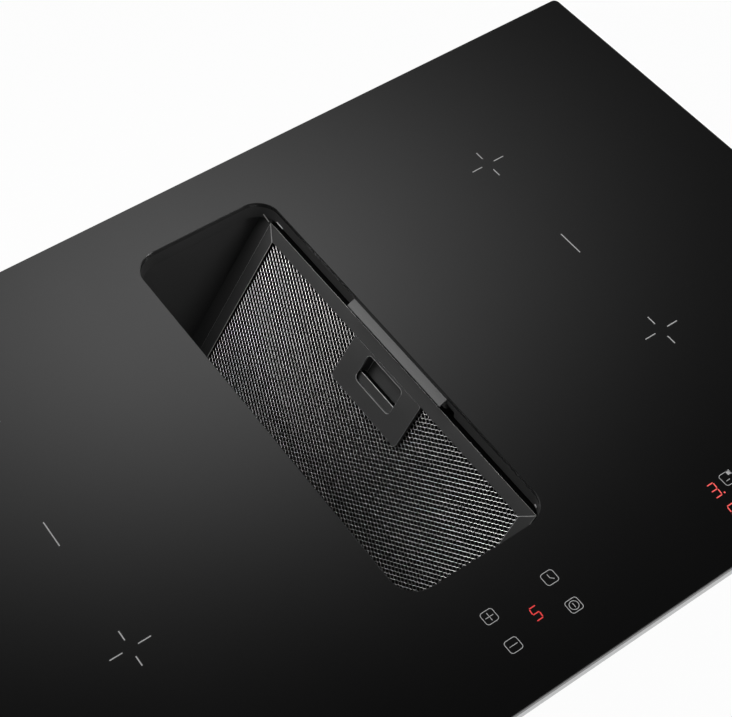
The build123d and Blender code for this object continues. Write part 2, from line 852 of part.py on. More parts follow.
with BuildPart() as motor_screws:
    with BuildSketch(blower.offset(scroll_width)):
        with PolarLocations(motor_screw_circle, 4, 45):
            Circle(motor_screw_radius)
    extrude(amount=scroll_wall + motor_screw_reach)
    with BuildSketch(blower.offset(scroll_width)):
        with PolarLocations(motor_screw_circle, 4, 45):
            Circle(2 * motor_screw_radius)
    extrude(amount=-motor_screw_head)
save(motor_screws, "motor_screws")

# The hanger ties the scroll's cover to the casing floor.
hanger_x = scroll_right + scroll_wall
hanger_bottom = blower_z + quarter_1 - hanger_lap
with BuildPart() as hanger:
    block(
        (hanger_x, blower_y - hanger_width / 2, hanger_bottom),
        (hanger_x + hanger_sheet, blower_y + hanger_width / 2, -casing_height),
    )
    block(
        (hanger_x, blower_y - hanger_width / 2, -casing_height - hanger_sheet),
        (hanger_x + hanger_width, blower_y + hanger_width / 2, -casing_height),
    )
save(hanger, "blower_hanger")

# ================================================================ outlet duct
flare_start = blower_y + scroll_exit
flare_end = flare_start + duct_flare
spigot_end = flare_end + duct_spigot
exit_middle_z = blower_z + (exit_floor + exit_rise) / 2
throat_middle_x = (scroll_left + scroll_right + scroll_wall) / 2
throat_width = scroll_width + scroll_wall
spigot_x = scroll_left + duct_offset + duct_width / 2
duct_stations = [
    (flare_start, throat_middle_x, throat_width),
    (flare_end, spigot_x, duct_width),
    (spigot_end, spigot_x, duct_width),
]
with BuildPart() as duct:
    for grow, mode in [(0, Mode.ADD), (-2 * duct_wall, Mode.SUBTRACT)]:
        for (y0, x0, w0), (y1, x1, w1) in zip(duct_stations, duct_stations[1:]):
            with BuildSketch(Plane(origin=(x0, y0, exit_middle_z), x_dir=(1, 0, 0), z_dir=(0, -1, 0))):
                Rectangle(w0 + grow, duct_height + grow)
            with BuildSketch(Plane(origin=(x1, y1, exit_middle_z), x_dir=(1, 0, 0), z_dir=(0, -1, 0))):
                Rectangle(w1 + grow, duct_height + grow)
            loft(mode=mode)
save(duct, "outlet_duct")

# ================================================================ base casing
casing_floor = casing_sheet - casing_height
fan_places = [(side * zone_x, fan_y) for side in (-1, 1)]
hole_left = well_outer_left - fit_gap
hole_right = well_outer_right + fit_gap
hole_front = well_outer_front - fit_gap
hole_rear = well_outer_rear + fit_gap
spring_places = [
    (side, y) for side in (-1, 1) for y in (-side_spring_spacing / 2, side_spring_spacing / 2)
]
side_screw_z = side_spring_top - side_spring_tab / 2
with BuildPart() as casing:
    with BuildSketch(Plane.XY.offset(-casing_height)):
        RectangleRounded(casing_width, casing_depth, casing_radius)
    extrude(amount=casing_height + glass_bottom)
    with BuildSketch(Plane.XY.offset(casing_floor)):
        RectangleRounded(
            casing_width - 2 * casing_sheet, casing_depth - 2 * casing_sheet, casing_radius - casing_sheet
        )
    extrude(amount=casing_height - 2 * casing_sheet + glass_bottom, mode=Mode.SUBTRACT)
    with BuildSketch(Plane.XY):
        RectangleRounded(casing_width - 2 * casing_flange, casing_depth - 2 * casing_flange, casing_radius)
    extrude(amount=glass_bottom + 1, mode=Mode.SUBTRACT)
    # the upstand round the well
    block(
        (hole_left - casing_sheet, hole_front - casing_sheet, -casing_height),
        (hole_right + casing_sheet, hole_rear + casing_sheet, well_top - well_wall),
    )
    block((hole_left, hole_front, -casing_height - 1), (hole_right, hole_rear, 0), Mode.SUBTRACT)
    # air slots under the cooling fans
    with Locations(*[(x, y, -casing_height) for x, y in fan_places]):
        with GridLocations(0, cooling_slot_pitch, 1, cooling_slots):
            Box(cooling_slot_length, cooling_slot_width, 4 * casing_sheet, mode=Mode.SUBTRACT)
    # screw holes of the side springs
    for side, y in spring_places:
        with Locations(Location((side * casing_width / 2, y, side_screw_z), (0, 90, 0))):
            Cylinder(side_screw_radius + hole_gap, 6 * casing_sheet, mode=Mode.SUBTRACT)
    # holes for worktop clamps, front and rear
    for side in (-1, 1):
        for x in (-clamp_hole_spacing / 2, clamp_hole_spacing / 2):
            with Locations(Location((x, side * casing_depth / 2, clamp_hole_z), (90, 0, 0))):
                Cylinder(clamp_hole_radius, 6 * casing_sheet, mode=Mode.SUBTRACT)
save(casing, "base_casing")

# Leaf springs that hold the hob in the worktop's cut-out: a tab on the casing's side, then a
# bow that stands out from it.
tab_end = side_spring_top - side_spring_tab
spring_foot = side_spring_top - side_spring_length
bow_z = (tab_end + spring_foot) / 2
bow_x = side_spring_bulge
sheet = side_spring_sheet
with BuildPart() as side_springs:
    for side, y in spring_places:
        wall = side * casing_width / 2
        with BuildSketch(Plane.XZ.offset(-(y - side_spring_width / 2))):
            with BuildLine():
                Polyline(
                    (wall, side_spring_top),
                    (wall, tab_end),
                    (wall + side * bow_x, bow_z),
                    (wall + side * side_spring_foot_gap, spring_foot),
                    (wall + side * (side_spring_foot_gap + sheet), spring_foot),
                    (wall + side * (bow_x + sheet), bow_z),
                    (wall + side * sheet, tab_end),
                    (wall + side * sheet, side_spring_top),
                    close=True,
                )
            make_face()
        extrude(amount=-side_spring_width)
        with Locations(Location((wall, y, side_screw_z), (0, 90, 0))):
            Cylinder(side_screw_radius + hole_gap, 6 * casing_sheet, mode=Mode.SUBTRACT)
save(side_springs, "side_springs")

with BuildPart() as side_screws:
    for side, y in spring_places:
        head_x = side * (casing_width / 2 + sheet)
        shank_middle = head_x - side * side_screw_length / 2
        with Locations(Location((shank_middle, y, side_screw_z), (0, 90, 0))):
            Cylinder(side_screw_radius, side_screw_length)
        with Locations(Location((head_x + side * side_screw_head / 2, y, side_screw_z), (0, 90, 0))):
            Cylinder(side_screw_head_radius, side_screw_head)
save(side_screws, "side_spring_screws")

# ================================================================ coils
# From the glass down: mica, winding, carrier, ferrite bars, sheet tray.
mica_bottom = glass_bottom - glass_gap - mica_sheet
winding_bottom = mica_bottom - mica_gap - winding_height
carrier_bottom = winding_bottom - carrier_height
tray_sheet_top = carrier_bottom - ferrite_height
sides = [("left", -1), ("right", 1)]
rows = [("front", zone_front_y), ("rear", zone_rear_y)]
coil_places = [(side * zone_x, y) for _, side in sides for _, y in rows]
spoke_length = coil_radius - coil_eye
carrier_slot_length = spoke_length - 2 * carrier_slot_margin

for side_name, side in sides:
    with BuildPart() as coil_tray:
        low_x = side * zone_x - coil_tray_width / 2
        high_x = side * zone_x + coil_tray_width / 2
        block((low_x, coil_tray_front, casing_floor), (high_x, coil_tray_rear, tray_sheet_top))
        block(
            (low_x - 1, coil_tray_front + coil_tray_sheet, casing_floor - 1),
            (high_x + 1, coil_tray_rear - coil_tray_sheet, tray_sheet_top - coil_tray_sheet),
            Mode.SUBTRACT,
        )
        # cable holes under the coils' eyes
        with Locations(*[(side * zone_x, y, tray_sheet_top) for _, y in rows]):
            Cylinder(cable_hole_radius, 4 * coil_tray_sheet, mode=Mode.SUBTRACT)
    save(coil_tray, f"coil_tray_{side_name}")

    with BuildPart() as mica:
        block(
            (side * zone_x - mica_width / 2, coil_tray_front + mica_end_gap, mica_bottom),
            (side * zone_x + mica_width / 2, coil_tray_rear - mica_end_gap, mica_bottom + mica_sheet),
        )
        with Locations(*[(side * zone_x, y, mica_bottom) for _, y in rows]):
            Cylinder(sensor_radius + fit_gap, 4 * mica_sheet, mode=Mode.SUBTRACT)
    save(mica, f"mica_sheet_{side_name}")

    for row_name, y in rows:
        with BuildPart() as carrier:
            with BuildSketch(Plane.XY.offset(carrier_bottom)):
                with Locations((side * zone_x, y)):
                    Circle(coil_radius)
                    Circle(sensor_radius + fit_gap, mode=Mode.SUBTRACT)
                    with PolarLocations((coil_radius + coil_eye) / 2, ferrite_count, 180 / ferrite_count):
                        SlotOverall(carrier_slot_length, carrier_slot_width, mode=Mode.SUBTRACT)
            extrude(amount=carrier_height)
        save(carrier, f"coil_carrier_{side_name}_{row_name}")

        with BuildPart() as winding:
            with BuildSketch(Plane.XY.offset(winding_bottom)):
                with Locations((side * zone_x, y)):
                    Circle(coil_radius - winding_margin)
                    Circle(coil_eye, mode=Mode.SUBTRACT)
            extrude(amount=winding_height)
        save(winding, f"coil_winding_{side_name}_{row_name}")

with BuildPart() as ferrites:
    for x, y in coil_places:
        with BuildSketch(Plane.XY.offset(tray_sheet_top)):
            with Locations((x, y)):
                with PolarLocations((coil_radius + coil_eye) / 2, ferrite_count):
                    Rectangle(spoke_length - 2 * ferrite_margin, ferrite_width)
        extrude(amount=ferrite_height)
save(ferrites, "ferrite_bars")

sensor_height = glass_bottom - glass_gap - carrier_bottom
with BuildPart() as sensors:
    with Locations(*[(x, y, carrier_bottom) for x, y in coil_places]):
        Cylinder(sensor_radius, sensor_height, align=standing)
        Cylinder(sensor_flange_radius, sensor_flange, align=hanging)
save(sensors, "coil_sensors")

# ================================================================ power boards, heat sinks, fans
board_bottom = casing_floor + board_lift
board_top = board_bottom + board_sheet
for side_name, side in sides:
    middle = side * zone_x
    with BuildPart() as board:
        block(
            (middle - board_width / 2, board_front, board_bottom),
            (middle + board_width / 2, board_rear, board_top),
        )
        # stand-offs
        with Locations((middle, board_middle, casing_floor)):
            with GridLocations(
                board_width - 2 * standoff_inset, board_rear - board_front - 2 * standoff_inset, 2, 2
            ):
                Cylinder(standoff_radius, board_lift, align=standing)
        # capacitors, chokes and relays beside the heat sink
        with Locations((middle - side * heat_sink_shift, board_middle, board_top)):
            with GridLocations(0, part_pitch, 1, 4):
                Cylinder(capacitor_radius, capacitor_height, align=standing)
        with Locations((middle - side * (heat_sink_shift - relay_shift), board_middle, board_top)):
            with GridLocations(0, part_pitch, 1, 4):
                Box(*relay_size, align=standing)
    save(board, f"power_board_{side_name}")

    with BuildPart() as sink:
        sink_x = middle + side * heat_sink_shift
        low = (sink_x - heat_sink_width / 2, board_middle - heat_sink_length / 2, board_top)
        high = (low[0] + heat_sink_width, low[1] + heat_sink_length, board_top + heat_sink_height)
        block(low, high)
        fin_pitch = heat_sink_width / heat_sink_fins
        for i in range(heat_sink_fins):
            gap_x = low[0] + (i + 0.5) * fin_pitch
            block(
                (gap_x - fin_pitch / 3, low[1] - 1, board_top + heat_sink_base),
                (gap_x + fin_pitch / 3, high[1] + 1, high[2] + 1),
                Mode.SUBTRACT,
            )
    save(sink, f"heat_sink_{side_name}")

    fan_top = casing_floor + fan_height
    with BuildPart() as fan_housing:
        with BuildSketch(Plane.XY.offset(casing_floor)):
            with Locations((middle, fan_y)):
                RectangleRounded(fan_size, fan_size, fan_frame_radius)
                Circle(fan_bore, mode=Mode.SUBTRACT)
        extrude(amount=fan_height)
        with BuildSketch(Plane.XY.offset(fan_top - fan_plate)):
            with Locations((middle, fan_y)):
                Circle(fan_hub_radius)
                for turn in (45, 135):
                    Rectangle(2 * fan_bore + 2, fan_strut_width, rotation=turn)
        extrude(amount=fan_plate)
        with Locations((middle, fan_y, fan_top)):
            Cylinder(fan_pin_radius + running_gap, 4 * fan_plate, mode=Mode.SUBTRACT)
    save(fan_housing, f"fan_housing_{side_name}")

    rotor_top = fan_top - fan_plate - fan_gap
    rotor_height = fan_height - fan_plate - 2.5 * fan_gap
    with BuildPart() as rotor:
        with Locations((middle, fan_y, rotor_top)):
            Cylinder(fan_hub_radius, rotor_height, align=hanging)
            Cylinder(fan_pin_radius, fan_plate, align=standing)
        with Locations((middle, fan_y, rotor_top - rotor_height / 2)):
            with PolarLocations((fan_hub_radius + fan_bore) / 2 - fan_gap, fan_blades):
                Box(
                    fan_bore - fan_hub_radius - root,
                    fan_blade_thickness,
                    rotor_height - 3 * fan_gap,
                    rotation=(fan_blade_pitch, 0, 0),
                )
    save(rotor, f"fan_rotor_{side_name}")

# ================================================================ touch board
post_pitch = (touch_width / 2 - holder_post_inset_x, touch_depth - 2 * holder_post_inset_y)
with BuildPart() as holder:
    low = (-touch_width / 2 - holder_rim, touch_y - touch_depth / 2 - holder_rim, touch_lift - holder_floor)
    high = (touch_width / 2 + holder_rim, touch_y + touch_depth / 2 + holder_rim, low[2] + holder_height)
    block(low, high)
    block(
        (low[0] + holder_rim - fit_gap, low[1] + holder_rim - fit_gap, touch_lift),
        (high[0] - holder_rim + fit_gap, high[1] - holder_rim + fit_gap, high[2] + 1),
        Mode.SUBTRACT,
    )
    with Locations((0, touch_y, casing_floor)):
        with GridLocations(*post_pitch, 3, 2):
            Cylinder(holder_post_radius, low[2] - casing_floor + root, align=standing)
save(holder, "board_holder")

touch_top = touch_lift + board_sheet
with BuildPart() as touch_board:
    block(
        (-touch_width / 2, touch_y - touch_depth / 2, touch_lift),
        (touch_width / 2, touch_y + touch_depth / 2, touch_top),
    )
save(touch_board, "touch_board")

digit_places = [
    (0, digit_y),
    (-side_digit_x, digit_y),
    (side_digit_x, digit_y),
    (-side_digit_x, side_digit_front_y),
    (side_digit_x, side_digit_front_y),
]
with BuildPart() as digits:
    with Locations(*[(x, y, touch_top) for x, y in digit_places]):
        Box(
            digit_width,
            digit_depth,
            glass_bottom - fit_gap - touch_top,
            align=standing,
        )
save(digits, "digit_displays")

# ================================================================ terminal box, gland, control box
terminal_top = -casing_height
terminal_bottom = terminal_top - terminal_height
with BuildPart() as terminal_box:
    low = (terminal_x - terminal_width / 2, terminal_y - terminal_depth / 2, terminal_bottom)
    high = (terminal_x + terminal_width / 2, terminal_y + terminal_depth / 2, terminal_top)
    block(low, high)
    block([v + box_wall for v in low], [v - box_wall for v in high], Mode.SUBTRACT)
    with Locations(Location((terminal_x, high[1], (terminal_top + terminal_bottom) / 2), (90, 0, 0))):
        Cylinder(gland_thread_radius + hole_gap, 4 * box_wall, mode=Mode.SUBTRACT)
save(terminal_box, "terminal_box")

with BuildPart() as terminal_block:
    with Locations((terminal_x, terminal_y - clamp_block_shift, terminal_bottom + box_wall)):
        Box(*clamp_block, align=standing)
    with Locations((terminal_x, terminal_y - clamp_block_shift, terminal_bottom + box_wall + clamp_block[2])):
        with GridLocations(clamp_pitch, 0, clamp_count, 1):
            Cylinder(clamp_screw_radius, clamp_screw_depth, align=hanging, mode=Mode.SUBTRACT)
save(terminal_block, "terminal_block")

gland_z = (terminal_top + terminal_bottom) / 2
gland_face = terminal_y + terminal_depth / 2
with BuildPart() as gland:
    gland_plane = Plane(origin=(terminal_x, gland_face, gland_z), x_dir=(1, 0, 0), z_dir=(0, 1, 0))
    with BuildSketch(gland_plane):
        RegularPolygon(gland_radius, 6)
    extrude(amount=gland_length / 2)
    with BuildSketch(gland_plane.offset(gland_length / 2)):
        Circle(gland_radius - gland_step)
    extrude(amount=gland_length / 2)
    with BuildSketch(gland_plane):
        Circle(gland_thread_radius)
    extrude(amount=-box_wall - gland_nut)
    with BuildSketch(gland_plane.offset(-box_wall)):
        RegularPolygon(gland_radius, 6)
    extrude(amount=-gland_nut)
    with BuildSketch(gland_plane.offset(gland_length)):
        Circle(gland_bore)
    extrude(amount=-2 * gland_length, mode=Mode.SUBTRACT)
save(gland, "cable_gland")

with BuildPart() as control_box:
    low = (control_x - control_width / 2, control_y - control_depth / 2, terminal_top - control_height)
    high = (control_x + control_width / 2, control_y + control_depth / 2, terminal_top)
    block(low, high)
    fillet(control_box.edges().filter_by(Axis.Z), control_radius)
    block([v + box_wall for v in low], [v - box_wall for v in high], Mode.SUBTRACT)
save(control_box, "blower_control_box")

print("height", round(glass_top - tray_bottom, 2), "spigot", round(spigot_x, 2), round(spigot_end, 2))
print("exit middle z", round(exit_middle_z, 2), "gland", gland_face, gland_z)
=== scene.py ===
# %% [markdown]
# # A downdraft induction hob
# The real object is a black glass hob with one long vent. A metal grease filter leans in the vent,
# and below the glass hang the coils, the blower, its duct and a drip tray. The CAD model gives every
# solid its shape and its place. This file gives the pieces their finish, and adds the parts that are
# too fine for the solids: the strands of the mesh, the printed lines, the wire of the coils, and the
# ribs and screws of the walls.

# %% Load the frame
import json
from math import cos, pi, radians, sin

import bmesh
import bpy
from mathutils import Matrix, Vector


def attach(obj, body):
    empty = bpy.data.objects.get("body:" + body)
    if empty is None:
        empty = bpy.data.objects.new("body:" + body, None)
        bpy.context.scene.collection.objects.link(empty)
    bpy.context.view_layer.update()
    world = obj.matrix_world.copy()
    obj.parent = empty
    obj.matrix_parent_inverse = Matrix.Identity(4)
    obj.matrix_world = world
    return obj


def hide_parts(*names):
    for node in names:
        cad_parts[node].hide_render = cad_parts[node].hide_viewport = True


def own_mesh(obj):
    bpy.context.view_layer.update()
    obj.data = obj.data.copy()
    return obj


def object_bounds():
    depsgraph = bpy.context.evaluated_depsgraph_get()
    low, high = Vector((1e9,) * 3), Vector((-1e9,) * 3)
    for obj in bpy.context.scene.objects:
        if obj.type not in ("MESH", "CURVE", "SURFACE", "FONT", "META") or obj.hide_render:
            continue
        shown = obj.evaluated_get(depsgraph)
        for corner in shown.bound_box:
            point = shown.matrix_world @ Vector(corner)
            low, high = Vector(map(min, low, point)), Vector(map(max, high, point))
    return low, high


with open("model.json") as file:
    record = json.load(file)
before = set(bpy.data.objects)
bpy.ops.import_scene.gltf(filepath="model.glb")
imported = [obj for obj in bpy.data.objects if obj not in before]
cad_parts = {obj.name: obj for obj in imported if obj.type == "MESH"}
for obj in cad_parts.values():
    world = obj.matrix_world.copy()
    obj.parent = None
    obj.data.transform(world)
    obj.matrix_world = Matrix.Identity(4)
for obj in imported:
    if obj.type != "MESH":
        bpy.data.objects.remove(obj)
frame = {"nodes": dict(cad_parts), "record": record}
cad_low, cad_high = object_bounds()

nodes = frame["nodes"]
behaviour = frame["record"]["behaviour"]
body_of = {node: body for body, names in behaviour["bodies"].items() for node in names}
print("pieces", len(nodes), "size in mm", [round(1000 * side) for side in cad_high - cad_low])

# %% [markdown]
# ## The camera
# The photograph shows the hob from its front left corner, high up. A camera aimed by eye would leave
# every edge a little off, so its lens and place were worked out from the glass's straight edges and the
# square zone crosses. The lens is long and stands over a metre away, because opposite edges of the
# glass run nearly parallel in the photograph.

# %% Camera
PHOTO_WIDTH = 732
FOCAL_PIXELS = 1658.11
FILM_WIDTH = 36
CAMERA_PLACE = (-0.39536, -0.57763, 0.96735)
LOOK_DOWN = 52.369
LOOK_ASIDE = -35.298


def in_scene(name, data):
    made = bpy.data.objects.new(name, data)
    bpy.context.scene.collection.objects.link(made)
    return made


camera_data = bpy.data.cameras.new("photo_camera")
camera_data.sensor_width = FILM_WIDTH
camera_data.lens = FOCAL_PIXELS / PHOTO_WIDTH * FILM_WIDTH
camera_data.clip_end = 60
camera = in_scene("photo_camera", camera_data)
camera.location = CAMERA_PLACE
camera.rotation_euler = (radians(90 - LOOK_DOWN), 0, radians(LOOK_ASIDE))
bpy.context.scene.camera = camera
bpy.context.scene.view_settings.view_transform = "Standard"
print("lens", round(camera_data.lens, 2), "mm")

# %% [markdown]
# ## Writing shader maths as plain sums
# A material is a tree of nodes. Wiring each sum by hand hides what it means, so one small class wraps
# a socket: its operators add the Math nodes, and one method adds any other node. The same class
# serves the Geometry Nodes trees further down.

# %% One value in a node tree
class Signal:
    def __init__(self, tree, socket):
        self.tree = tree
        self.socket = socket

    def node(self, kind, settings, sockets, output=0):
        made = self.tree.nodes.new(kind)
        for name, value in settings.items():
            setattr(made, name, value)
        for key, value in sockets.items():
            if isinstance(value, Signal):
                self.tree.links.new(value.socket, made.inputs[key])
            else:
                made.inputs[key].default_value = value
        return Signal(self.tree, made.outputs[output])

    def math(self, operation, other=0.0):
        return self.node("ShaderNodeMath", {"operation": operation}, {0: self, 1: other})

    def __add__(self, other):
        return self.math("ADD", other)

    def __sub__(self, other):
        return self.math("SUBTRACT", other)

    def __rsub__(self, other):
        return self.node("ShaderNodeMath", {"operation": "SUBTRACT"}, {0: other, 1: self})

    def __mul__(self, other):
        return self.math("MULTIPLY", other)

    def __truediv__(self, other):
        return self.math("DIVIDE", other)

    __radd__ = __add__
    __rmul__ = __mul__

    def above(self, level):
        return self.math("GREATER_THAN", level)

    def ramp(self, low, high):
        return self.node("ShaderNodeMapRange", {"interpolation_type": "SMOOTHSTEP"}, {0: self, 1: low, 2: high})

# %% [markdown]
# ## Light
# In the photograph the glass mirrors one soft glow far behind the hob, while the mesh shines in a
# stronger light that the glass doesn't show. So the glow is painted into the world, because only its
# mirror image is seen. A lamp near the hob, high and behind its left side, lights the mesh, and light
# linking keeps it off the glass and its print, as a flag does in a studio. A second lamp at the front
# right fills the shadows. Around and below the hob all is white: the floor shines by itself wherever
# it is seen, because a lit floor would turn grey away from the lamps.

# %% World
# The glow's direction is in radians, and its reach is where it has faded to about a third.
GLOW_ASIDE = 0.426
GLOW_HEIGHT = 0.874
GLOW_REACH = (0.199, 0.128)
GLOW_LEVEL = 1.77
SKY_LEVEL = 0.03
HORIZON_BAND = (0.12, 0.42)
WHITE = (1, 1, 1, 1)

across = (cos(GLOW_ASIDE), -sin(GLOW_ASIDE), 0)
towards = (sin(GLOW_ASIDE) * cos(GLOW_HEIGHT), cos(GLOW_ASIDE) * cos(GLOW_HEIGHT), sin(GLOW_HEIGHT))
upwards = tuple(Vector(across).cross(Vector(towards)))

world = bpy.data.worlds.new("studio")
bpy.context.scene.world = world
world.use_nodes = True
sky_tree = world.node_tree
sky_tree.nodes.clear()
direction = Signal(sky_tree, sky_tree.nodes.new("ShaderNodeTexCoord").outputs["Generated"])


def along(axis):
    return direction.node("ShaderNodeVectorMath", {"operation": "DOT_PRODUCT"}, {0: direction, 1: axis}, 1)


sideways = along(across) / GLOW_REACH[0]
rise = along(upwards) / GLOW_REACH[1]
glow = (0 - (sideways * sideways + rise * rise)).math("EXPONENT") * along(towards).above(0)
near_horizon = 1 - along((0, 0, 1)).ramp(*HORIZON_BAND)
level = near_horizon * (1 - SKY_LEVEL) + glow * GLOW_LEVEL + SKY_LEVEL
backdrop = level.node("ShaderNodeBackground", {}, {"Color": WHITE, "Strength": level})
world_end = sky_tree.nodes.new("ShaderNodeOutputWorld")
sky_tree.links.new(backdrop.socket, world_end.inputs["Surface"])
print("glow towards", [round(part, 3) for part in towards])

# %% Lamps
def area_lamp(name, aim, way, distance, size, watts):
    data = bpy.data.lights.new(name, "AREA")
    data.shape = "SQUARE"
    data.size = size
    data.energy = watts
    lamp = in_scene(name, data)
    lamp.location = Vector(aim) + Vector(way).normalized() * distance
    lamp.rotation_euler = (-Vector(way)).to_track_quat("-Z", "Y").to_euler()
    return lamp


key_lamp = area_lamp("key_lamp", aim=(0, 0.03, -0.05), way=(-0.25, 0.45, 0.86), distance=0.7, size=0.52, watts=3.4)
side_lamp = area_lamp("side_lamp", aim=(0, 0, 0), way=(0.55, -0.45, 0.70), distance=2.2, size=0.9, watts=18)
flagged = bpy.data.collections.new("flagged_glass")
key_lamp.light_linking.receiver_collection = flagged


def flag_off(piece):
    flagged.objects.link(piece)
    flagged.collection_objects[-1].light_linking.link_state = "EXCLUDE"


flag_off(nodes["glass_top"])
print("lamps", key_lamp.name, side_lamp.name)

# %% Floor
FLOOR_REACH = 25.0
FLOOR_LEVEL = 0.96
FLOOR_PAINT = (0.9, 0.9, 0.9, 1)

floor_corners = [(x * FLOOR_REACH, y * FLOOR_REACH, cad_low.z) for x, y in ((-1, -1), (1, -1), (1, 1), (-1, 1))]
floor_mesh = bpy.data.meshes.new("studio_floor")
floor_mesh.from_pydata(floor_corners, [], [(0, 1, 2, 3)])
floor = in_scene("studio_floor", floor_mesh)
floor_material = bpy.data.materials.new("studio_floor")
floor_material.use_nodes = True
floor_tree = floor_material.node_tree
floor_tree.nodes.clear()
rays = floor_tree.nodes.new("ShaderNodeLightPath")
camera_ray, glossy_ray, clear_ray = (
    Signal(floor_tree, rays.outputs[f"Is {kind} Ray"]) for kind in ("Camera", "Glossy", "Transmission")
)
seen = (camera_ray + glossy_ray + clear_ray).math("MINIMUM", 1.0)
matt = seen.node("ShaderNodeBsdfDiffuse", {}, {"Color": FLOOR_PAINT})
shining = seen.node("ShaderNodeEmission", {}, {"Color": WHITE, "Strength": 1.0})
mixed = seen.node("ShaderNodeMixShader", {}, {0: seen * FLOOR_LEVEL, 1: matt, 2: shining})
floor_end = floor_tree.nodes.new("ShaderNodeOutputMaterial")
floor_tree.links.new(mixed.socket, floor_end.inputs["Surface"])
floor_mesh.materials.append(floor_material)
print("floor at", round(cad_low.z, 4))

# %% [markdown]
# ## Finishes
# Each finish is a Principled shader and a few noises on Object coordinates, in metres, so a grain has
# its real size on every piece and no surface has to be unwrapped. A value that is the same all over is
# set on the shader itself. Only the colours, the roughness and the bump change over a surface. Greys
# are given as the level that they show on a screen, from 0 to 255, and turned into the linear value
# that a shader takes.

# %% A finish and its helpers
finishes = {}


def grey(level, tint=(1.0, 1.0, 1.0)):
    share = level / 255
    linear = share / 12.92 if share < 0.04045 else ((share + 0.055) / 1.055) ** 2.4
    return tuple(linear * part for part in tint) + (1.0,)


class Finish:
    def __init__(self, name, **fixed):
        self.material = bpy.data.materials.new(name)
        self.material.use_nodes = True
        self.material.diffuse_color = fixed["Base_Color"]
        self.tree = self.material.node_tree
        self.tree.nodes.clear()
        self.shader = self.tree.nodes.new("ShaderNodeBsdfPrincipled")
        end = self.tree.nodes.new("ShaderNodeOutputMaterial")
        self.tree.links.new(self.shader.outputs[0], end.inputs["Surface"])
        self.place = Signal(self.tree, self.tree.nodes.new("ShaderNodeTexCoord").outputs["Object"])
        for label, value in fixed.items():
            self.shader.inputs[label.replace("_", " ")].default_value = value
        finishes[name] = self

    def feed(self, name, signal):
        self.tree.links.new(signal.socket, self.shader.inputs[name])

    def stretched(self, size, stretch=(1, 1, 1)):
        scale = tuple(part / size for part in stretch)
        return self.place.node("ShaderNodeMapping", {}, {"Vector": self.place, "Scale": scale})

    def noise(self, size, detail=2.0, stretch=(1, 1, 1)):
        where = self.stretched(size, stretch)
        return where.node("ShaderNodeTexNoise", {}, {"Vector": where, "Scale": 1.0, "Detail": detail})

    def cells(self, size, stretch=(1, 1, 1), output="Distance"):
        where = self.stretched(size, stretch)
        return where.node("ShaderNodeTexVoronoi", {}, {"Vector": where, "Scale": 1.0}, output)

    def one_a_cell(self, size, channel):
        colour = self.cells(size, output="Color")
        return colour.node("ShaderNodeSeparateColor", {}, {0: colour}, channel)

    def between(self, amount, low, high):
        # A Mix node's colour sockets are its inputs 6 and 7 and its output 2.
        return amount.node("ShaderNodeMix", {"data_type": "RGBA"}, {0: amount, 6: low, 7: high}, 2)

    def colour(self, amount, low, high):
        self.feed("Base Color", self.between(amount, low, high))

    def coordinate(self, axis):
        return self.place.node("ShaderNodeSeparateXYZ", {}, {0: self.place}, "XYZ".index(axis))

    def relief(self, height, depth):
        bump = height.node("ShaderNodeBump", {}, {"Height": height, "Distance": depth, "Strength": 1.0})
        self.feed("Normal", bump)


print("white as a linear value", grey(255)[:3])

# %% [markdown]
# ## Black glass and foam
# Ceramic glass is dyed through and polished, so it is nearly black and mirrors what is above it. Wipe
# marks show only as a slight change of gloss, and a little roughness softens the mirrored glow. The
# glass's edges are ground, so they are paler. Inside the vent little light reaches them, so there their
# colour is kept darker: painted shade. The solid has one slot for all of this, so height and distance
# from the middle tell the top from the edges. The foam seal below the glass is full of pores and has
# hardly any gloss.

# %% Glass and seal
POLISHED_FROM = cad_high.z - 0.00003
RIM_BEYOND = (0.39, 0.25)
DYED_BLACK = (0.0042, 0.0042, 0.0043, 1)

glass = Finish("black_glass", Base_Color=(0.0006, 0.0006, 0.0007, 1), Roughness=0.12, IOR=1.52)
wipe = glass.noise(0.09, 4, (1, 0.25, 1))
ground = 1 - glass.coordinate("Z").above(POLISHED_FROM)
far_aside = glass.coordinate("X").math("ABSOLUTE").above(RIM_BEYOND[0])
far_along = glass.coordinate("Y").math("ABSOLUTE").above(RIM_BEYOND[1])
outer_rim = far_aside.math("MAXIMUM", far_along)
# Ground edges inside the vent keep only 0.3 of the paler grey: painted shade.
glass.colour(ground * (0.3 + outer_rim * 0.7), DYED_BLACK, grey(84))
glass.feed("Roughness", 0.10 + wipe * 0.05 + ground * 0.1)

foam = Finish("foam_seal", Base_Color=grey(10), Roughness=0.95, Specular_IOR_Level=0.1)
pores = foam.cells(0.0012)
foam.colour(pores, grey(4), grey(14))
foam.relief(pores, 0.0003)
print("finishes", sorted(finishes))

# %% [markdown]
# ## Painted sheet metal
# The vent's collar, its keeper and the filter's rails are thin sheet with baked paint. Such paint has
# a fine orange peel, a slight change of gloss and tiny specks. One function makes all of them, because
# only their colour and gloss differ. Rounded edges get a paler and slightly metallic finish: a painted
# highlight that draws the thin bright line along them.

# %% Painted metals
def painted(name, level, roughness, metallic=0.0):
    paint = Finish(name, Base_Color=grey(level), Roughness=roughness, Metallic=metallic)
    cloud = paint.noise(0.03, 3)
    peel = paint.noise(0.0011, 2)
    speck = paint.noise(0.0004, 1)
    paint.colour(cloud * 0.6 + speck * 0.4, grey(level * 0.90), grey(level * 1.10))
    paint.feed("Roughness", roughness - 0.05 + cloud * 0.10)
    paint.relief(peel + speck * 0.3, 0.00003)


painted("collar_paint", 53, 0.60)
painted("keeper_paint", 85, 0.55)
painted("rail_paint", 69, 0.50)
painted("grip_paint", 72, 0.50)
# Pale edge finish: a painted highlight for rounded edges, corner strips and the well's rim.
painted("painted_edge_highlight", 205, 0.38, metallic=0.3)
print("finishes", len(finishes))

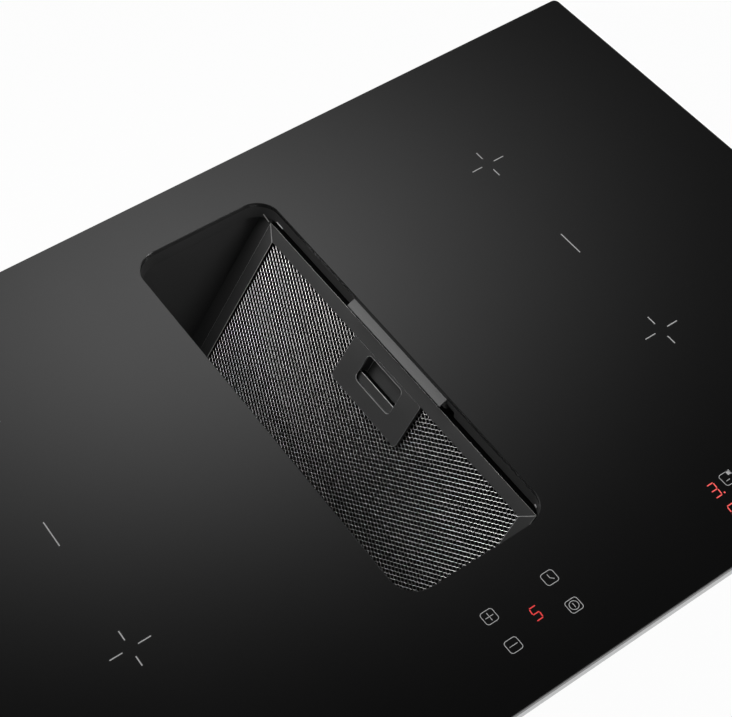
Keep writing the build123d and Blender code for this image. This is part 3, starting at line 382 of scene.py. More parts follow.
# %% [markdown]
# ## Bare metals
# Aluminium, galvanised steel, spring steel and copper differ in colour and in how they were worked:
# rolled sheet has streaks, zinc has its frosty crystals, turned steel is nearly smooth. Streaks are
# noise stretched along one direction, zinc crystals are the cells of a Voronoi texture, and a sine
# wave stands for the motor's stacked sheets.

# %% Rolled and turned metals
def rolled(name, level, roughness, tint=(1.0, 1.0, 1.0), stretch=(1, 12, 12), depth=0.00001):
    metal = Finish(name, Base_Color=grey(level, tint), Roughness=roughness, Metallic=1.0)
    streak = metal.noise(0.012, 4, stretch)
    cloud = metal.noise(0.05, 2)
    dull, bright = grey(level * 0.88, tint), grey(level * 1.08, tint)
    metal.colour(streak * 0.7 + cloud * 0.3, dull, bright)
    metal.feed("Roughness", roughness - 0.06 + streak * 0.12)
    metal.relief(streak, depth)


rolled("filter_mesh", 228, 0.19, stretch=(3, 3, 3), depth=0.000001)
rolled("sheet_aluminium", 200, 0.34, (0.98, 0.99, 1.0))
rolled("sink_aluminium", 205, 0.36, (0.99, 0.99, 1.0), stretch=(12, 1, 12))
rolled("spring_steel", 175, 0.28, (1.0, 0.99, 0.97))
rolled("shaft_steel", 190, 0.22, (1.0, 0.99, 0.98), stretch=(1, 30, 30))
rolled("screw_steel", 185, 0.30, (1.0, 0.98, 0.94), stretch=(8, 8, 8))
print("finishes", len(finishes))

# %% Zinc, copper and the motor's stacked sheets
RADIANS_A_METRE = 1500

zinc = Finish("casing_steel", Base_Color=grey(196), Roughness=0.45, Metallic=0.85)
crystal = zinc.one_a_cell(0.007, 0)
frost = zinc.noise(0.002, 3)
zinc.colour(crystal * 0.7 + frost * 0.3, grey(188), grey(210, (0.98, 0.99, 1.0)))
zinc.feed("Roughness", 0.36 + crystal * 0.16)
zinc.relief(frost + crystal, 0.00001)

copper = Finish("coil_copper", Base_Color=(0.62, 0.25, 0.11, 1), Roughness=0.34, Metallic=1.0)
twist = copper.noise(0.0008, 2)
copper.colour(twist, (0.42, 0.15, 0.06, 1), (0.75, 0.33, 0.16, 1))
copper.relief(twist, 0.0001)

motor = Finish("motor_steel", Base_Color=grey(150), Roughness=0.42, Metallic=0.8)
stacked = (motor.coordinate("X") * RADIANS_A_METRE).math("SINE")
motor.colour(stacked * 0.2 + motor.noise(0.01) * 0.6, grey(120), grey(170))
motor.relief(stacked, 0.00005)
print("finishes", len(finishes))

# %% [markdown]
# ## Plastics, ceramics and boards
# Moulded housings have an eroded grain under a millimetre wide, and a slightly uneven gloss. Ferrite
# and ceramic are sintered powders, so their surface is finely pitted. Mica splits in thin pearly
# flakes. A circuit board is green lacquer over copper tracks, and a brick texture lays the tracks out.

# %% Moulded plastics
def moulded(name, level, roughness, tint=(1.0, 1.0, 1.0)):
    plastic = Finish(name, Base_Color=grey(level, tint), Roughness=roughness)
    grain = plastic.noise(0.0007, 3)
    flow = plastic.noise(0.06, 2, (1, 1, 0.4))
    plastic.colour(flow, grey(level * 0.93, tint), grey(level * 1.07, tint))
    plastic.feed("Roughness", roughness - 0.05 + flow * 0.10)
    plastic.relief(grain, 0.00004)


moulded("grip_plastic", 74, 0.45)
moulded("well_plastic", 62, 0.52)
moulded("tray_plastic", 58, 0.50)
moulded("scroll_plastic", 46, 0.52)
moulded("impeller_plastic", 60, 0.50)
moulded("duct_plastic", 36, 0.50)
moulded("fan_plastic", 34, 0.46)
moulded("coil_plastic", 205, 0.55, (1.0, 0.97, 0.88))
moulded("terminal_plastic", 66, 0.50)
print("finishes", len(finishes))

# %% Ceramics and mica
ferrite = Finish("ferrite", Base_Color=grey(52), Roughness=0.75)
ferrite.colour(ferrite.noise(0.004), grey(44), grey(64))
ferrite.relief(ferrite.cells(0.0016), 0.0001)

ceramic = Finish("sensor_ceramic", Base_Color=grey(226), Roughness=0.35)
ceramic.colour(ceramic.noise(0.003), grey(215), grey(235, (1.0, 0.99, 0.96)))
ceramic.relief(ceramic.noise(0.0005), 0.00002)

mica = Finish("mica", Base_Color=grey(178, (1.0, 0.95, 0.82)), Roughness=0.35)
flake = mica.one_a_cell(0.009, 1)
mica.colour(flake, grey(160, (1.0, 0.93, 0.78)), grey(196, (1.0, 0.96, 0.86)))
mica.feed("Roughness", 0.24 + flake * 0.2)
mica.relief(flake, 0.00003)
print("finishes", len(finishes))

# %% Boards and displays
TRACKS = {
    "Color1": (0, 0, 0, 1), "Color2": (0.3, 0.3, 0.3, 1), "Mortar": WHITE,
    "Scale": 1.0, "Mortar Size": 0.05, "Brick Width": 1.7, "Row Height": 0.5,
}

board = Finish("board_green", Base_Color=(0.012, 0.09, 0.035, 1), Roughness=0.32)
layout = board.stretched(0.006)
tracks = layout.node("ShaderNodeTexBrick", {"offset": 0.5}, {"Vector": layout, **TRACKS}, 1)
board.colour(tracks, (0.010, 0.075, 0.028, 1), (0.030, 0.16, 0.062, 1))
board.relief(tracks, 0.00003)

display = Finish("display_red", Base_Color=(0.25, 0.012, 0.012, 1), Roughness=0.3)
display.colour(display.noise(0.0004), (0.2, 0.01, 0.01, 1), (0.32, 0.016, 0.016, 1))
print("finishes", len(finishes))

# %% [markdown]
# ## Dressing the CAD pieces
# Each CAD piece comes with a slot that is named for its finish, so one loop dresses them all. Only
# the imported layers inside the filter get a finish of their own: they lie in the dark behind the open
# strands, so they are painted near black with a faint weave, as painted shade.

# %% The imported layers inside the filter
# The inner layers are painted near black: painted shade behind the strands.
pack_shade = Finish("pack_painted_shade", Base_Color=grey(8), Roughness=0.7, Specular_IOR_Level=0.1)
crossing = pack_shade.cells(0.0024, (1, 0.6, 1))
pack_shade.colour(crossing.ramp(0.2, 0.7), grey(12), grey(2))
pack_shade.relief(crossing, 0.0008)

# %% Give every CAD node its finish
for node in nodes.values():
    for entry in node.material_slots:
        entry.material = finishes[entry.material.name.split(".")[0]].material if entry.material else None
nodes["mesh_pack"].material_slots[0].material = pack_shade.material
print("dressed nodes", sum(1 for node in nodes.values() if node.material_slots[0].material))

# %% [markdown]
# ## From CAD solid to finished piece
# The CAD solids have knife edges. On the real pieces every edge is a small round, and that thin round
# is what catches the light. A shader could only pretend the round, so the mesh itself gets it: a copy
# of the solid's mesh is merged, its flat triangles are joined to plain faces, and a Bevel modifier
# rounds the edges. The copy then stands for the CAD node.

# %% Place a finished mesh
def evaluated(helper):
    depsgraph = bpy.context.evaluated_depsgraph_get()
    mesh = bpy.data.meshes.new_from_object(helper.evaluated_get(depsgraph))
    bpy.data.objects.remove(helper)
    return mesh


def place_piece(name, mesh, node, finish):
    piece = in_scene(name, mesh)
    if not mesh.materials:
        mesh.materials.append(finishes[finish].material)
    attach(piece, body_of[node])
    return piece


# %% Round a solid's edges
MERGED_WITHIN = 0.000001
FLAT_WITHIN = radians(0.4)
CORNER_FROM = radians(30)
CREASE_FROM = radians(14)


def merged_copy(node):
    shell = bmesh.new()
    shell.from_mesh(nodes[node].data)
    bmesh.ops.remove_doubles(shell, verts=shell.verts, dist=MERGED_WITHIN)
    bmesh.ops.dissolve_limit(shell, angle_limit=FLAT_WITHIN, verts=shell.verts, edges=shell.edges)
    mesh = bpy.data.meshes.new(node + "_shape")
    shell.to_mesh(mesh)
    shell.free()
    return mesh


def dress(node, edge, finish, edge_finish=None, rounds=2):
    mesh = merged_copy(node)
    for coat in (finish, edge_finish or finish):
        mesh.materials.append(finishes[coat].material)
    helper = in_scene(node + "_helper", mesh)
    bevel = helper.modifiers.new("bevel", "BEVEL")
    bevel.width = edge
    bevel.segments = rounds
    bevel.limit_method = "ANGLE"
    bevel.angle_limit = CORNER_FROM
    bevel.material = 1
    mesh = evaluated(helper)
    mesh.shade_smooth()
    mesh.set_sharp_from_angle(angle=CREASE_FROM)
    piece = place_piece(node + "_piece", mesh, node, finish)
    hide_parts(node)
    print(node, len(mesh.polygons), "faces")
    return piece


# %% [markdown]
# ## The vent's collar and the filter's frame
# The collar is bent and painted sheet that lines the vent, and the keeper is a lighter strip that the
# latch snaps behind. The filter's frame is four rails of folded sheet, cut at 45 degrees at the
# corners. Rounds of three to seven tenths of a millimetre give each of them its thin bright outline,
# which on the rails is also a painted highlight from the pale edge finish. The faces that look up the
# slope take the black foam finish as painted shade, which fills the gaps there with black. The filter
# leans, so what is added to it is drawn flat and laid on it by a matrix: down the slope, to the front,
# out of its face.

# %% The filter's face
SLOPE = radians(54.7)
FACE_TOP = Vector((0.0588, 0.027, -0.014))
FACE_CORNER = Vector((0.2, 0.1685, 0))

down_slope = Vector((-cos(SLOPE), 0, -sin(SLOPE)))
out_of_face = Vector((-sin(SLOPE), 0, cos(SLOPE)))
to_front = Vector((0, -1, 0))
face = Matrix((down_slope, to_front, out_of_face)).transposed().to_4x4()
face.translation = FACE_TOP
print("face corner", [round(part, 4) for part in face @ FACE_CORNER])

# %% Collar, keeper and rails
UP_THE_SLOPE = -0.99


# The black foam finish on faces that look up the slope is painted shade for the gaps beside them.
def paint_up_slope_shade(piece):
    coats = piece.data.materials
    coats.append(finishes["foam_seal"].material)
    for facet in piece.data.polygons:
        if facet.normal.dot(down_slope) < UP_THE_SLOPE:
            facet.material_index = len(coats) - 1


dress("intake_collar", 0.0004, "collar_paint")
dress("latch_keeper", 0.0003, "keeper_paint")
for side in ("lower", "front", "rear"):
    dress(f"filter_rail_{side}", 0.00035, "rail_paint", "painted_edge_highlight")
paint_up_slope_shade(dress("filter_rail_upper", 0.0007, "rail_paint", "painted_edge_highlight"))

# %% [markdown]
# ## The grip
# A plate with a finger well sits on the mesh. Inside the well a sprung slider carries the latch
# tongues. The plate's corners and the well's rim are the brightest lines near the middle of the
# photograph, so their rounds take the pale edge finish too, a painted highlight. The slider's faces
# that look up the slope are painted black as painted shade.

# %% Plate, finger well and slider
dress("handle_plate", 0.0005, "grip_paint", "painted_edge_highlight")
dress("handle_cup", 0.0004, "grip_plastic", "painted_edge_highlight", rounds=3)
paint_up_slope_shade(dress("latch_slider", 0.0003, "grip_plastic", "painted_edge_highlight"))

# %% [markdown]
# ## The latch's springs
# Two small coil springs push the slider up the slope. They shorten as the grip is drawn down. A copy
# of them stands for the CAD node, and the share of their length left after the latch's travel, which
# the record gives, is worked out but not applied.

# %% A copy of the springs
coil_mesh = nodes["latch_springs"].data.copy()
ends = [down_slope.dot(vertex.co) for vertex in coil_mesh.vertices]
free_length = max(ends) - min(ends)
latch_travel = next(joint["range_m"][1] for joint in behaviour["joints"] if joint["name"] == "latch_slide")
share_left = 1 - latch_travel / free_length
coil_springs = place_piece("latch_coil_springs", coil_mesh, "latch_springs", "spring_steel")
down_slope * max(ends)
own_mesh(coil_springs)
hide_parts("latch_springs")
print("springs keep", round(share_left, 3), "of", round(1000 * free_length, 2), "mm")

# %% [markdown]
# ## Geometry Nodes in three short helpers
# Whatever repeats is grown by a tree: the strands of the mesh, printed ticks, screws, ribs and the
# turns of the coils. Loops over vertices could do it too, but a tree keeps each size as a named input.
# A tree is started with its sizes and ended with Realize Instances and Set Material. Growing one sets
# its sizes by socket identifier, evaluates it once and keeps a plain mesh.

# %% Trees and what they grow
def start_tree(name, sizes):
    tree = bpy.data.node_groups.new(name, "GeometryNodeTree")
    tree.interface.new_socket("Places", in_out="INPUT", socket_type="NodeSocketGeometry")
    for label, value in sizes.items():
        kind = "NodeSocketInt" if isinstance(value, int) else "NodeSocketFloat"
        tree.interface.new_socket(label, in_out="INPUT", socket_type=kind).default_value = value
    tree.interface.new_socket("Finish", in_out="INPUT", socket_type="NodeSocketMaterial")
    tree.interface.new_socket("Pieces", in_out="OUTPUT", socket_type="NodeSocketGeometry")
    entry = tree.nodes.new("NodeGroupInput")
    return {socket.name: Signal(tree, socket) for socket in entry.outputs if socket.name}


def end_tree(shape, sizes):
    whole = shape.node("GeometryNodeRealizeInstances", {}, {0: shape})
    coated = whole.node("GeometryNodeSetMaterial", {}, {"Geometry": whole, "Material": sizes["Finish"]})
    end = shape.tree.nodes.new("NodeGroupOutput")
    shape.tree.links.new(coated.socket, end.inputs[0])
    return shape.tree


def grow(name, tree, places, sizes, node, finish, turns=None, turn=Matrix.Identity(4), smooth=None):
    start = bpy.data.meshes.new(name)
    start.from_pydata([tuple(place) for place in places], [], [])
    if turns:
        attribute = start.attributes.new("turn", "FLOAT_VECTOR", "POINT")
        attribute.data.foreach_set("vector", [part for angles in turns for part in angles])
    helper = in_scene(name + "_helper", start)
    modifier = helper.modifiers.new("grow", "NODES")
    modifier.node_group = tree
    values = {**sizes, "Finish": finishes[finish].material}
    for item in tree.interface.items_tree:
        if item.in_out == "INPUT" and item.name in values:
            modifier[item.identifier] = values[item.name]
    mesh = evaluated(helper)
    mesh.transform(turn)
    if smooth is not None:
        mesh.shade_smooth()
        mesh.set_sharp_from_angle(angle=radians(smooth))
    piece = place_piece(name, mesh, node, finish)
    print(name, len(mesh.polygons), "faces")
    return piece


# %% [markdown]
# ## The expanded mesh
# Expanded metal is a sheet that is slit and pulled open. Each strand zigzags between knuckles, where
# it joins its neighbours, and is twisted a little out of the sheet, so one slope of each diamond
# shines while the other stays dark. A picture of a mesh on a sheet has no such depth, so real strands
# are grown. The tree bends one ribbon and repeats it down the slope, every second one half a diamond
# along. What the handle plate hides is left out.

# %% One ribbon
mesh_sizes = {
    "Diamonds": 53, "Rows": 94, "Pitch": 0.006, "Row Gap": 0.0019, "Knuckle": 0.0012, "Swing": 0.00095,
    "Width": 0.001, "Sheet": 0.0002, "Tilt": radians(-30),
    "Plate Top": -0.001, "Plate End": 0.038, "Plate Rear": 0.1168, "Plate Front": 0.1974,
}
POINTS_A_DIAMOND = 4

size = start_tree("expanded_mesh", mesh_sizes)
line = size["Pitch"].node("GeometryNodeMeshLine", {}, {"Count": size["Diamonds"] * POINTS_A_DIAMOND + 1})
index = line.node("GeometryNodeInputIndex", {}, {})
high = index.math("MODULO", float(POINTS_A_DIAMOND)).above(1.5)
run = (index / POINTS_A_DIAMOND).math("FLOOR") * size["Pitch"] + high * size["Pitch"] / 2
run = run + index.math("MODULO", 2.0) * size["Knuckle"]
bent = line.node("ShaderNodeCombineXYZ", {}, {0: (high * 2 - 1) * size["Swing"], 1: run})
bent = line.node("GeometryNodeSetPosition", {}, {"Geometry": line, "Position": bent})
wire = bent.node("GeometryNodeMeshToCurve", {}, {0: bent})
wire = wire.node("GeometryNodeSetCurveNormal", {"mode": "Z_UP"}, {0: wire})
flat = wire.node("GeometryNodeCurvePrimitiveQuadrilateral", {}, {0: size["Width"], 1: size["Sheet"]})
lean = flat.node("ShaderNodeCombineXYZ", {}, {2: size["Tilt"]})
flat = flat.node("GeometryNodeTransform", {}, {"Geometry": flat, "Rotation": lean})
ribbon = wire.node("GeometryNodeCurveToMesh", {}, {"Curve": wire, "Profile Curve": flat, "Fill Caps": True})
print("a diamond in mm", 1000 * mesh_sizes["Pitch"], "x", round(2000 * mesh_sizes["Row Gap"], 2))

# %% Many rows, less what the plate hides
step = ribbon.node("ShaderNodeCombineXYZ", {}, {0: size["Row Gap"]})
rows = ribbon.node("GeometryNodeMeshLine", {}, {"Count": size["Rows"], "Offset": step})
row = rows.node("GeometryNodeInputIndex", {}, {})
half = rows.node("ShaderNodeCombineXYZ", {}, {1: row.math("MODULO", 2.0) * size["Pitch"] / 2})
rows = rows.node("GeometryNodeSetPosition", {}, {"Geometry": rows, "Offset": half})
field = rows.node("GeometryNodeInstanceOnPoints", {}, {"Points": rows, "Instance": ribbon})
field = field.node("GeometryNodeRealizeInstances", {}, {0: field})
where = field.node("GeometryNodeInputPosition", {}, {})
down = where.node("ShaderNodeSeparateXYZ", {}, {0: where}, 0)
aside = where.node("ShaderNodeSeparateXYZ", {}, {0: where}, 1)
hidden = down.above(size["Plate Top"]) * (1 - down.above(size["Plate End"]))
hidden = hidden * aside.above(size["Plate Rear"]) * (1 - aside.above(size["Plate Front"]))
field = field.node("GeometryNodeDeleteGeometry", {"domain": "FACE"}, {"Geometry": field, "Selection": hidden})
expanded_tree = end_tree(field, size)
print("mesh tree", len(expanded_tree.nodes), "nodes")

# %% Front and back mesh
MESH_CORNER = (0.0118, -0.159)
FRONT_DEPTH = -0.0034
BACK_DEPTH = -0.0108
NOWHERE = 1.0

for name, node, depth, plate_top in (
    ("front_strands", "front_mesh", FRONT_DEPTH, mesh_sizes["Plate Top"]),
    ("back_strands", "back_mesh", BACK_DEPTH, NOWHERE),
):
    place = face @ Matrix.Translation((*MESH_CORNER, depth))
    sizes = {**mesh_sizes, "Plate Top": plate_top}
    strands = grow(name, expanded_tree, [(0, 0, 0)], sizes, node, "filter_mesh", turn=place)
    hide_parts(node)

# %% [markdown]
# ## Ribs and screws on the outer walls
# Sheet steel and thin plastic walls are stiffened: steel by long pressed beads, plastic by moulded
# ribs. Both are bars with sloping sides, so one tree serves them. A second tree makes a screw's head
# with its round socket. A wall is given by its origin, in millimetres, and its two directions. Each
# place on it carries its turn as a point attribute, so one object holds the screws of many walls.

# %% Walls and places on them
UNDER, TOP = ((1, 0, 0), (0, -1, 0)), ((1, 0, 0), (0, 1, 0))
FRONT, REAR = ((1, 0, 0), (0, 0, 1)), ((-1, 0, 0), (0, 0, 1))
LEFT, RIGHT = ((0, -1, 0), (0, 0, 1)), ((0, 1, 0), (0, 0, 1))
WALLS = {
    "casing_floor": ((0, 0, -52.0), *UNDER),
    "casing_front": ((0, -242.0, -40.0), *FRONT), "casing_rear": ((0, 242.0, -40.0), *REAR),
    "casing_left": ((-372.0, 0, -40.0), *LEFT), "casing_right": ((372.0, 0, -40.0), *RIGHT),
    "well_left": ((-66.3, 27.0, -124.0), *LEFT),
    "well_front": ((5.3, -157.8, -124.0), *FRONT), "well_rear": ((5.3, 211.8, -124.0), *REAR),
    "duct_floor": ((191.0, 0, -202.5), *UNDER), "duct_roof": ((191.0, 0, -113.5), *TOP),
    "duct_side": ((302.0, 0, -158.0), *RIGHT), "scroll_cover": ((169.0, 10.0, -128.0), *RIGHT),
    "control_box": ((-165, 40, -92.0), *UNDER), "terminal_box": ((-318, 200, -88.0), *UNDER),
    "tray_front": ((0, -148.0, -205.0), *FRONT),
}


def on_wall(wall, spots):
    origin, right, up = (Vector(part) for part in WALLS[wall])
    out = right.cross(up)
    places, turns = [], []
    for x, y, quarter in spots:
        along_bar, beside_bar = (up, -right) if quarter else (right, up)
        places.append((origin + right * x + up * y) / 1000)
        turns.append(Matrix((along_bar, beside_bar, out)).transposed().to_euler())
    return places, turns


def joined(*walls):
    return [place for wall in walls for place in wall[0]], [turn for wall in walls for turn in wall[1]]


print("walls", len(WALLS))

# %% A bar with sloping sides
SUNK = 0.0001
BAR_CREASE = 30

bead = {"Length": 0.26, "Foot": 0.016, "Crest": 0.009, "Height": 0.0018}
size = start_tree("stiffening_bar", bead)
front_end = size["Length"].node("ShaderNodeCombineXYZ", {}, {0: size["Length"] / 2})
rear_end = size["Length"].node("ShaderNodeCombineXYZ", {}, {0: size["Length"] * -0.5})
spine = front_end.node("GeometryNodeCurvePrimitiveLine", {}, {"Start": rear_end, "End": front_end})
widths = {"Height": size["Height"], "Bottom Width": size["Foot"], "Top Width": size["Crest"], "Offset": 0.0}
section = spine.node("GeometryNodeCurvePrimitiveQuadrilateral", {"mode": "TRAPEZOID"}, widths)
lift = section.node("ShaderNodeCombineXYZ", {}, {1: SUNK - size["Height"] / 2})
foot_down = {"Geometry": section, "Translation": lift, "Rotation": (0, 0, pi)}
section = section.node("GeometryNodeTransform", {}, foot_down)
bar = spine.node("GeometryNodeCurveToMesh", {}, {"Curve": spine, "Profile Curve": section, "Fill Caps": True})


def on_every_place(shape, size):
    turn = shape.node("GeometryNodeInputNamedAttribute", {"data_type": "FLOAT_VECTOR"}, {"Name": "turn"})
    sockets = {"Points": size["Places"], "Instance": shape, "Rotation": turn}
    return end_tree(shape.node("GeometryNodeInstanceOnPoints", {}, sockets), size)


bar_tree = on_every_place(bar, size)


def add_bars(name, spots, sizes, node, finish):
    places, turns = spots
    grow(name, bar_tree, places, sizes, node, finish, turns=turns, smooth=BAR_CREASE)


print("bar tree", len(bar_tree.nodes), "nodes")

# %% A screw head with a socket
screw = {"Radius": 0.0032, "Rise": 0.0014}
size = start_tree("screw_head", screw)
circle = {"Vertices": 12, "Radius": size["Radius"]}
disc = size["Radius"].node("GeometryNodeMeshCircle", {"fill_type": "NGON"}, circle)


def pushed(shape, only, amount):
    sockets = {"Mesh": shape, "Selection": only, "Offset Scale": amount, "Individual": False}
    made = shape.node("GeometryNodeExtrudeMesh", {"mode": "FACES"}, sockets)
    return made, Signal(made.tree, made.socket.node.outputs["Top"])


def shrunk(shape, only, scale):
    return shape.node("GeometryNodeScaleElements", {}, {"Geometry": shape, "Selection": only, "Scale": scale})


# The side, the chamfer, the rim of the socket, and the socket itself.
head, crown = pushed(disc, True, size["Rise"] * 0.6)
head, crown = pushed(head, crown, size["Rise"] * 0.4)
head = shrunk(head, crown, 0.72)
head, crown = pushed(head, crown, 0.0)
head = shrunk(head, crown, 0.5)
head, crown = pushed(head, crown, size["Rise"] * -0.6)
screw_tree = on_every_place(head, size)
print("screw tree", len(screw_tree.nodes), "nodes")

# %% Beads of the casing
beside_well = [(side * (255 + 30 * i), 60, 1) for side in (-1, 1) for i in range(4)]
at_front = [(x, y, 0) for x in (-110, 110) for y in (190, 216)]
add_bars("casing_beads", on_wall("casing_floor", beside_well), bead, "base_casing", "casing_steel")
front_bead = {**bead, "Length": 0.18}
add_bars("casing_front_beads", on_wall("casing_floor", at_front), front_bead, "base_casing", "casing_steel")

# %% Ribs of the well
well_rib = {"Length": 0.130, "Foot": 0.0030, "Crest": 0.0022, "Height": 0.0014}
long_rib = {**well_rib, "Length": 0.356}
upright = joined(
    on_wall("well_left", [(y, 0, 1) for y in (-150, -90, -30, 30, 90, 150)]),
    on_wall("well_front", [(x, 0, 1) for x in (-45, 0, 45)]),
    on_wall("well_rear", [(x, 0, 1) for x in (-45, 0, 45)]),
)
level_ribs = on_wall("well_left", [(0, 0, 0), (0, -60, 0)])
add_bars("well_ribs", upright, well_rib, "well_housing", "well_plastic")
add_bars("well_long_ribs", level_ribs, long_rib, "well_housing", "well_plastic")

# %% Bands of the duct
BAND_PLACES = (204, 220, 236)

band = {"Length": 0.214, "Foot": 0.0030, "Crest": 0.0020, "Height": 0.0010}
side_band = {**band, "Length": 0.085}
across_duct = joined(
    on_wall("duct_floor", [(0, -y, 0) for y in BAND_PLACES]), on_wall("duct_roof", [(0, y, 0) for y in BAND_PLACES])
)
up_the_side = on_wall("duct_side", [(y, 0, 1) for y in BAND_PLACES])
add_bars("duct_bands", across_duct, band, "outlet_duct", "duct_plastic")
add_bars("duct_side_bands", up_the_side, side_band, "outlet_duct", "duct_plastic")

# %% Ribs of the boxes and of the tray's grip
box_rib = {"Length": 0.084, "Foot": 0.0024, "Crest": 0.0016, "Height": 0.0007}
short_rib = {**box_rib, "Length": 0.062}
grip_rib = {"Length": 0.008, "Foot": 0.0022, "Crest": 0.0014, "Height": 0.0009}
on_control_box = on_wall("control_box", [(0, y, 0) for y in range(-56, 57, 8)])
on_terminal_box = on_wall("terminal_box", [(0, y, 0) for y in range(-16, 17, 8)])
on_tray = on_wall("tray_front", [(x, 0, 1) for x in range(-24, 25, 6)])
add_bars("control_box_ribs", on_control_box, box_rib, "blower_control_box", "scroll_plastic")
add_bars("terminal_box_ribs", on_terminal_box, short_rib, "terminal_box", "scroll_plastic")
add_bars("tray_grip_bars", on_tray, grip_rib, "drip_tray", "tray_plastic")

# %% Screws of the casing, the boxes and the blower
COVER_RADIUS = 60
SCREW_CREASE = 40

front_row = [(x, 0, 0) for x in (-330, -200, -70, 70, 200, 330)]
side_row = [(y, 0, 0) for y in (-215, -60, 60, 215)]
cover_turns = [radians(angle) for angle in range(135, 346, 35)]
places, turns = joined(
    on_wall("casing_front", front_row), on_wall("casing_rear", front_row),
    on_wall("casing_left", side_row), on_wall("casing_right", side_row),
    on_wall("control_box", [(x, y, 0) for x in (-56, 56) for y in (-76, 76)]),
    on_wall("terminal_box", [(x, y, 0) for x in (-42, 42) for y in (-27, 27)]),
    on_wall("scroll_cover", [(COVER_RADIUS * cos(turn), COVER_RADIUS * sin(turn), 0) for turn in cover_turns]),
)
grow("outer_screws", screw_tree, places, screw, "base_casing", "screw_steel", turns=turns, smooth=SCREW_CREASE)

# %% [markdown]
# ## Small springs at the collar's corners
# Thin strips of bright sheet at the collar's corners keep the filter from rattling. In the photograph
# they are short glints, and the strips take the pale edge finish, so their glints are painted
# highlights. Each is a bar from one point to another, turned so that its crest faces the camera's
# side. They lie beyond the filter's ends or behind its path, so the filter swings past them.

# %% Corner springs
def bar_between(start, end, out):
    start, end = Vector(start) / 1000, Vector(end) / 1000
    way = (end - start).normalized()
    beside = Vector(out).cross(way).normalized()
    return (start + end) / 2, Matrix((way, beside, way.cross(beside))).transposed().to_euler()


def add_springs(name, leaves, length):
    sizes = {"Length": length, "Foot": 0.0009, "Crest": 0.0006, "Height": 0.0004}
    places, turns = zip(*leaves)
    # The pale edge finish makes these strips painted highlights.
    add_bars(name, (places, turns), sizes, "intake_collar", "painted_edge_highlight")


rear_leaves = (
    bar_between((55.6, 200.4, -6.5), (57.9, 196.8, -13.5), (-0.5, -0.6, 0.6)),
    bar_between((60.6, 188.6, -8.6), (60.6, 180.6, -8.9), (-0.8, 0.0, 0.6)),
)
front_leaf = bar_between((60.3, -136.9, -6.4), (59.0, -140.4, -5.4), (-0.8, 0.2, 0.6))
add_springs("corner_springs", rear_leaves, 0.0083)
add_springs("front_corner_spring", (front_leaf,), 0.0036)

# %% [markdown]
# ## The coils
# An induction coil is a flat spiral of stranded copper wire, glued to its carrier. Rings would look
# alike from afar, but one wire can't be wound as rings. So the tree winds a round wire with the Spiral
# node and sets it on the four zones, and the spirals stand for the plain rings of the CAD model.

# %% Spirals of wire
ZONE_CENTRES = [(x, y) for x in (-0.2275, 0.2275) for y in (-0.0772, 0.1322)]
COIL_LEVEL = -0.00175
WIRE_CREASE = 50

coil = {"Turns": 15.0, "Inner Radius": 0.0294, "Outer Radius": 0.0897, "Wire Radius": 0.0021}
size = start_tree("coil", coil)
spiral = size["Turns"].node("GeometryNodeCurveSpiral", {}, {
    "Resolution": 44, "Rotations": size["Turns"], "Start Radius": size["Inner Radius"],
    "End Radius": size["Outer Radius"], "Height": 0.0,
})
round_wire = spiral.node("GeometryNodeCurvePrimitiveCircle", {}, {"Resolution": 8, "Radius": size["Wire Radius"]})
swept = {"Curve": spiral, "Profile Curve": round_wire, "Fill Caps": True}
winding = spiral.node("GeometryNodeCurveToMesh", {}, swept)
windings = winding.node("GeometryNodeInstanceOnPoints", {}, {"Points": size["Places"], "Instance": winding})
coil_tree = end_tree(windings, size)
coils = grow(
    "coil_windings", coil_tree, [(x, y, COIL_LEVEL) for x, y in ZONE_CENTRES], coil,
    "coil_winding_left_front", "coil_copper", smooth=WIRE_CREASE,
)
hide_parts(*(f"coil_winding_{place}" for place in ("left_front", "left_rear", "right_front", "right_rear")))

# %% [markdown]
# ## Moulded and folded edges
# A moulded part has no sharp corner, because the melt wouldn't fill it, and folded sheet has the
# radius of its bend. The housings below the glass get such rounds from the same Bevel as the frame.

# %% Round the housings
for node, edge, finish in (
    ("terminal_box", 0.0015, "scroll_plastic"), ("blower_control_box", 0.0012, "scroll_plastic"),
    ("outlet_duct", 0.0012, "duct_plastic"), ("drip_tray", 0.0010, "tray_plastic"),
    ("blower_hanger", 0.0008, "casing_steel"), ("base_casing", 0.0006, "casing_steel"),
):
    dress(node, edge, finish)

# %% [markdown]
# ## Printed lines and lit digits
# The zone crosses and key outlines are screen printed in pale grey enamel, which stands a hundredth of
# a millimetre proud of the glass. The digits shine through it and are drawn on it. Each zone cross is
# four ticks, grown by a tree at the zones' centres. Keys and digits are drawn as strokes, in
# millimetres, and each stroke becomes a thin closed plate, which stays sharp however near it is seen.

# %% Enamel and lit red
MIDDLE_REACH = 0.1

enamel = Finish("print_grey", Base_Color=grey(236), Roughness=0.35)
enamel.colour(enamel.noise(0.002), grey(228), grey(244))

lit = Finish("digit_light", Base_Color=(0.3, 0.01, 0.01, 1), Roughness=0.3, Emission_Strength=1.0)
outer = lit.coordinate("X").math("ABSOLUTE").above(MIDDLE_REACH)
shine = outer * 0.8 + lit.noise(0.0006) * 0.2
lit.feed("Emission Color", lit.between(shine, (0.52, 0.035, 0.035, 1), (0.82, 0.13, 0.12, 1)))
print("finishes", len(finishes))

# %% Zone crosses
GLASS_TOP = cad_high.z
PRINT_HEIGHT = 0.00002

cross_sizes = {
    "Line": 0.0009, "Thickness": PRINT_HEIGHT, "Along Start": 0.007, "Along End": 0.0152,
    "Across Start": 0.0058, "Across End": 0.0155,
}
size = start_tree("zone_cross", cross_sizes)


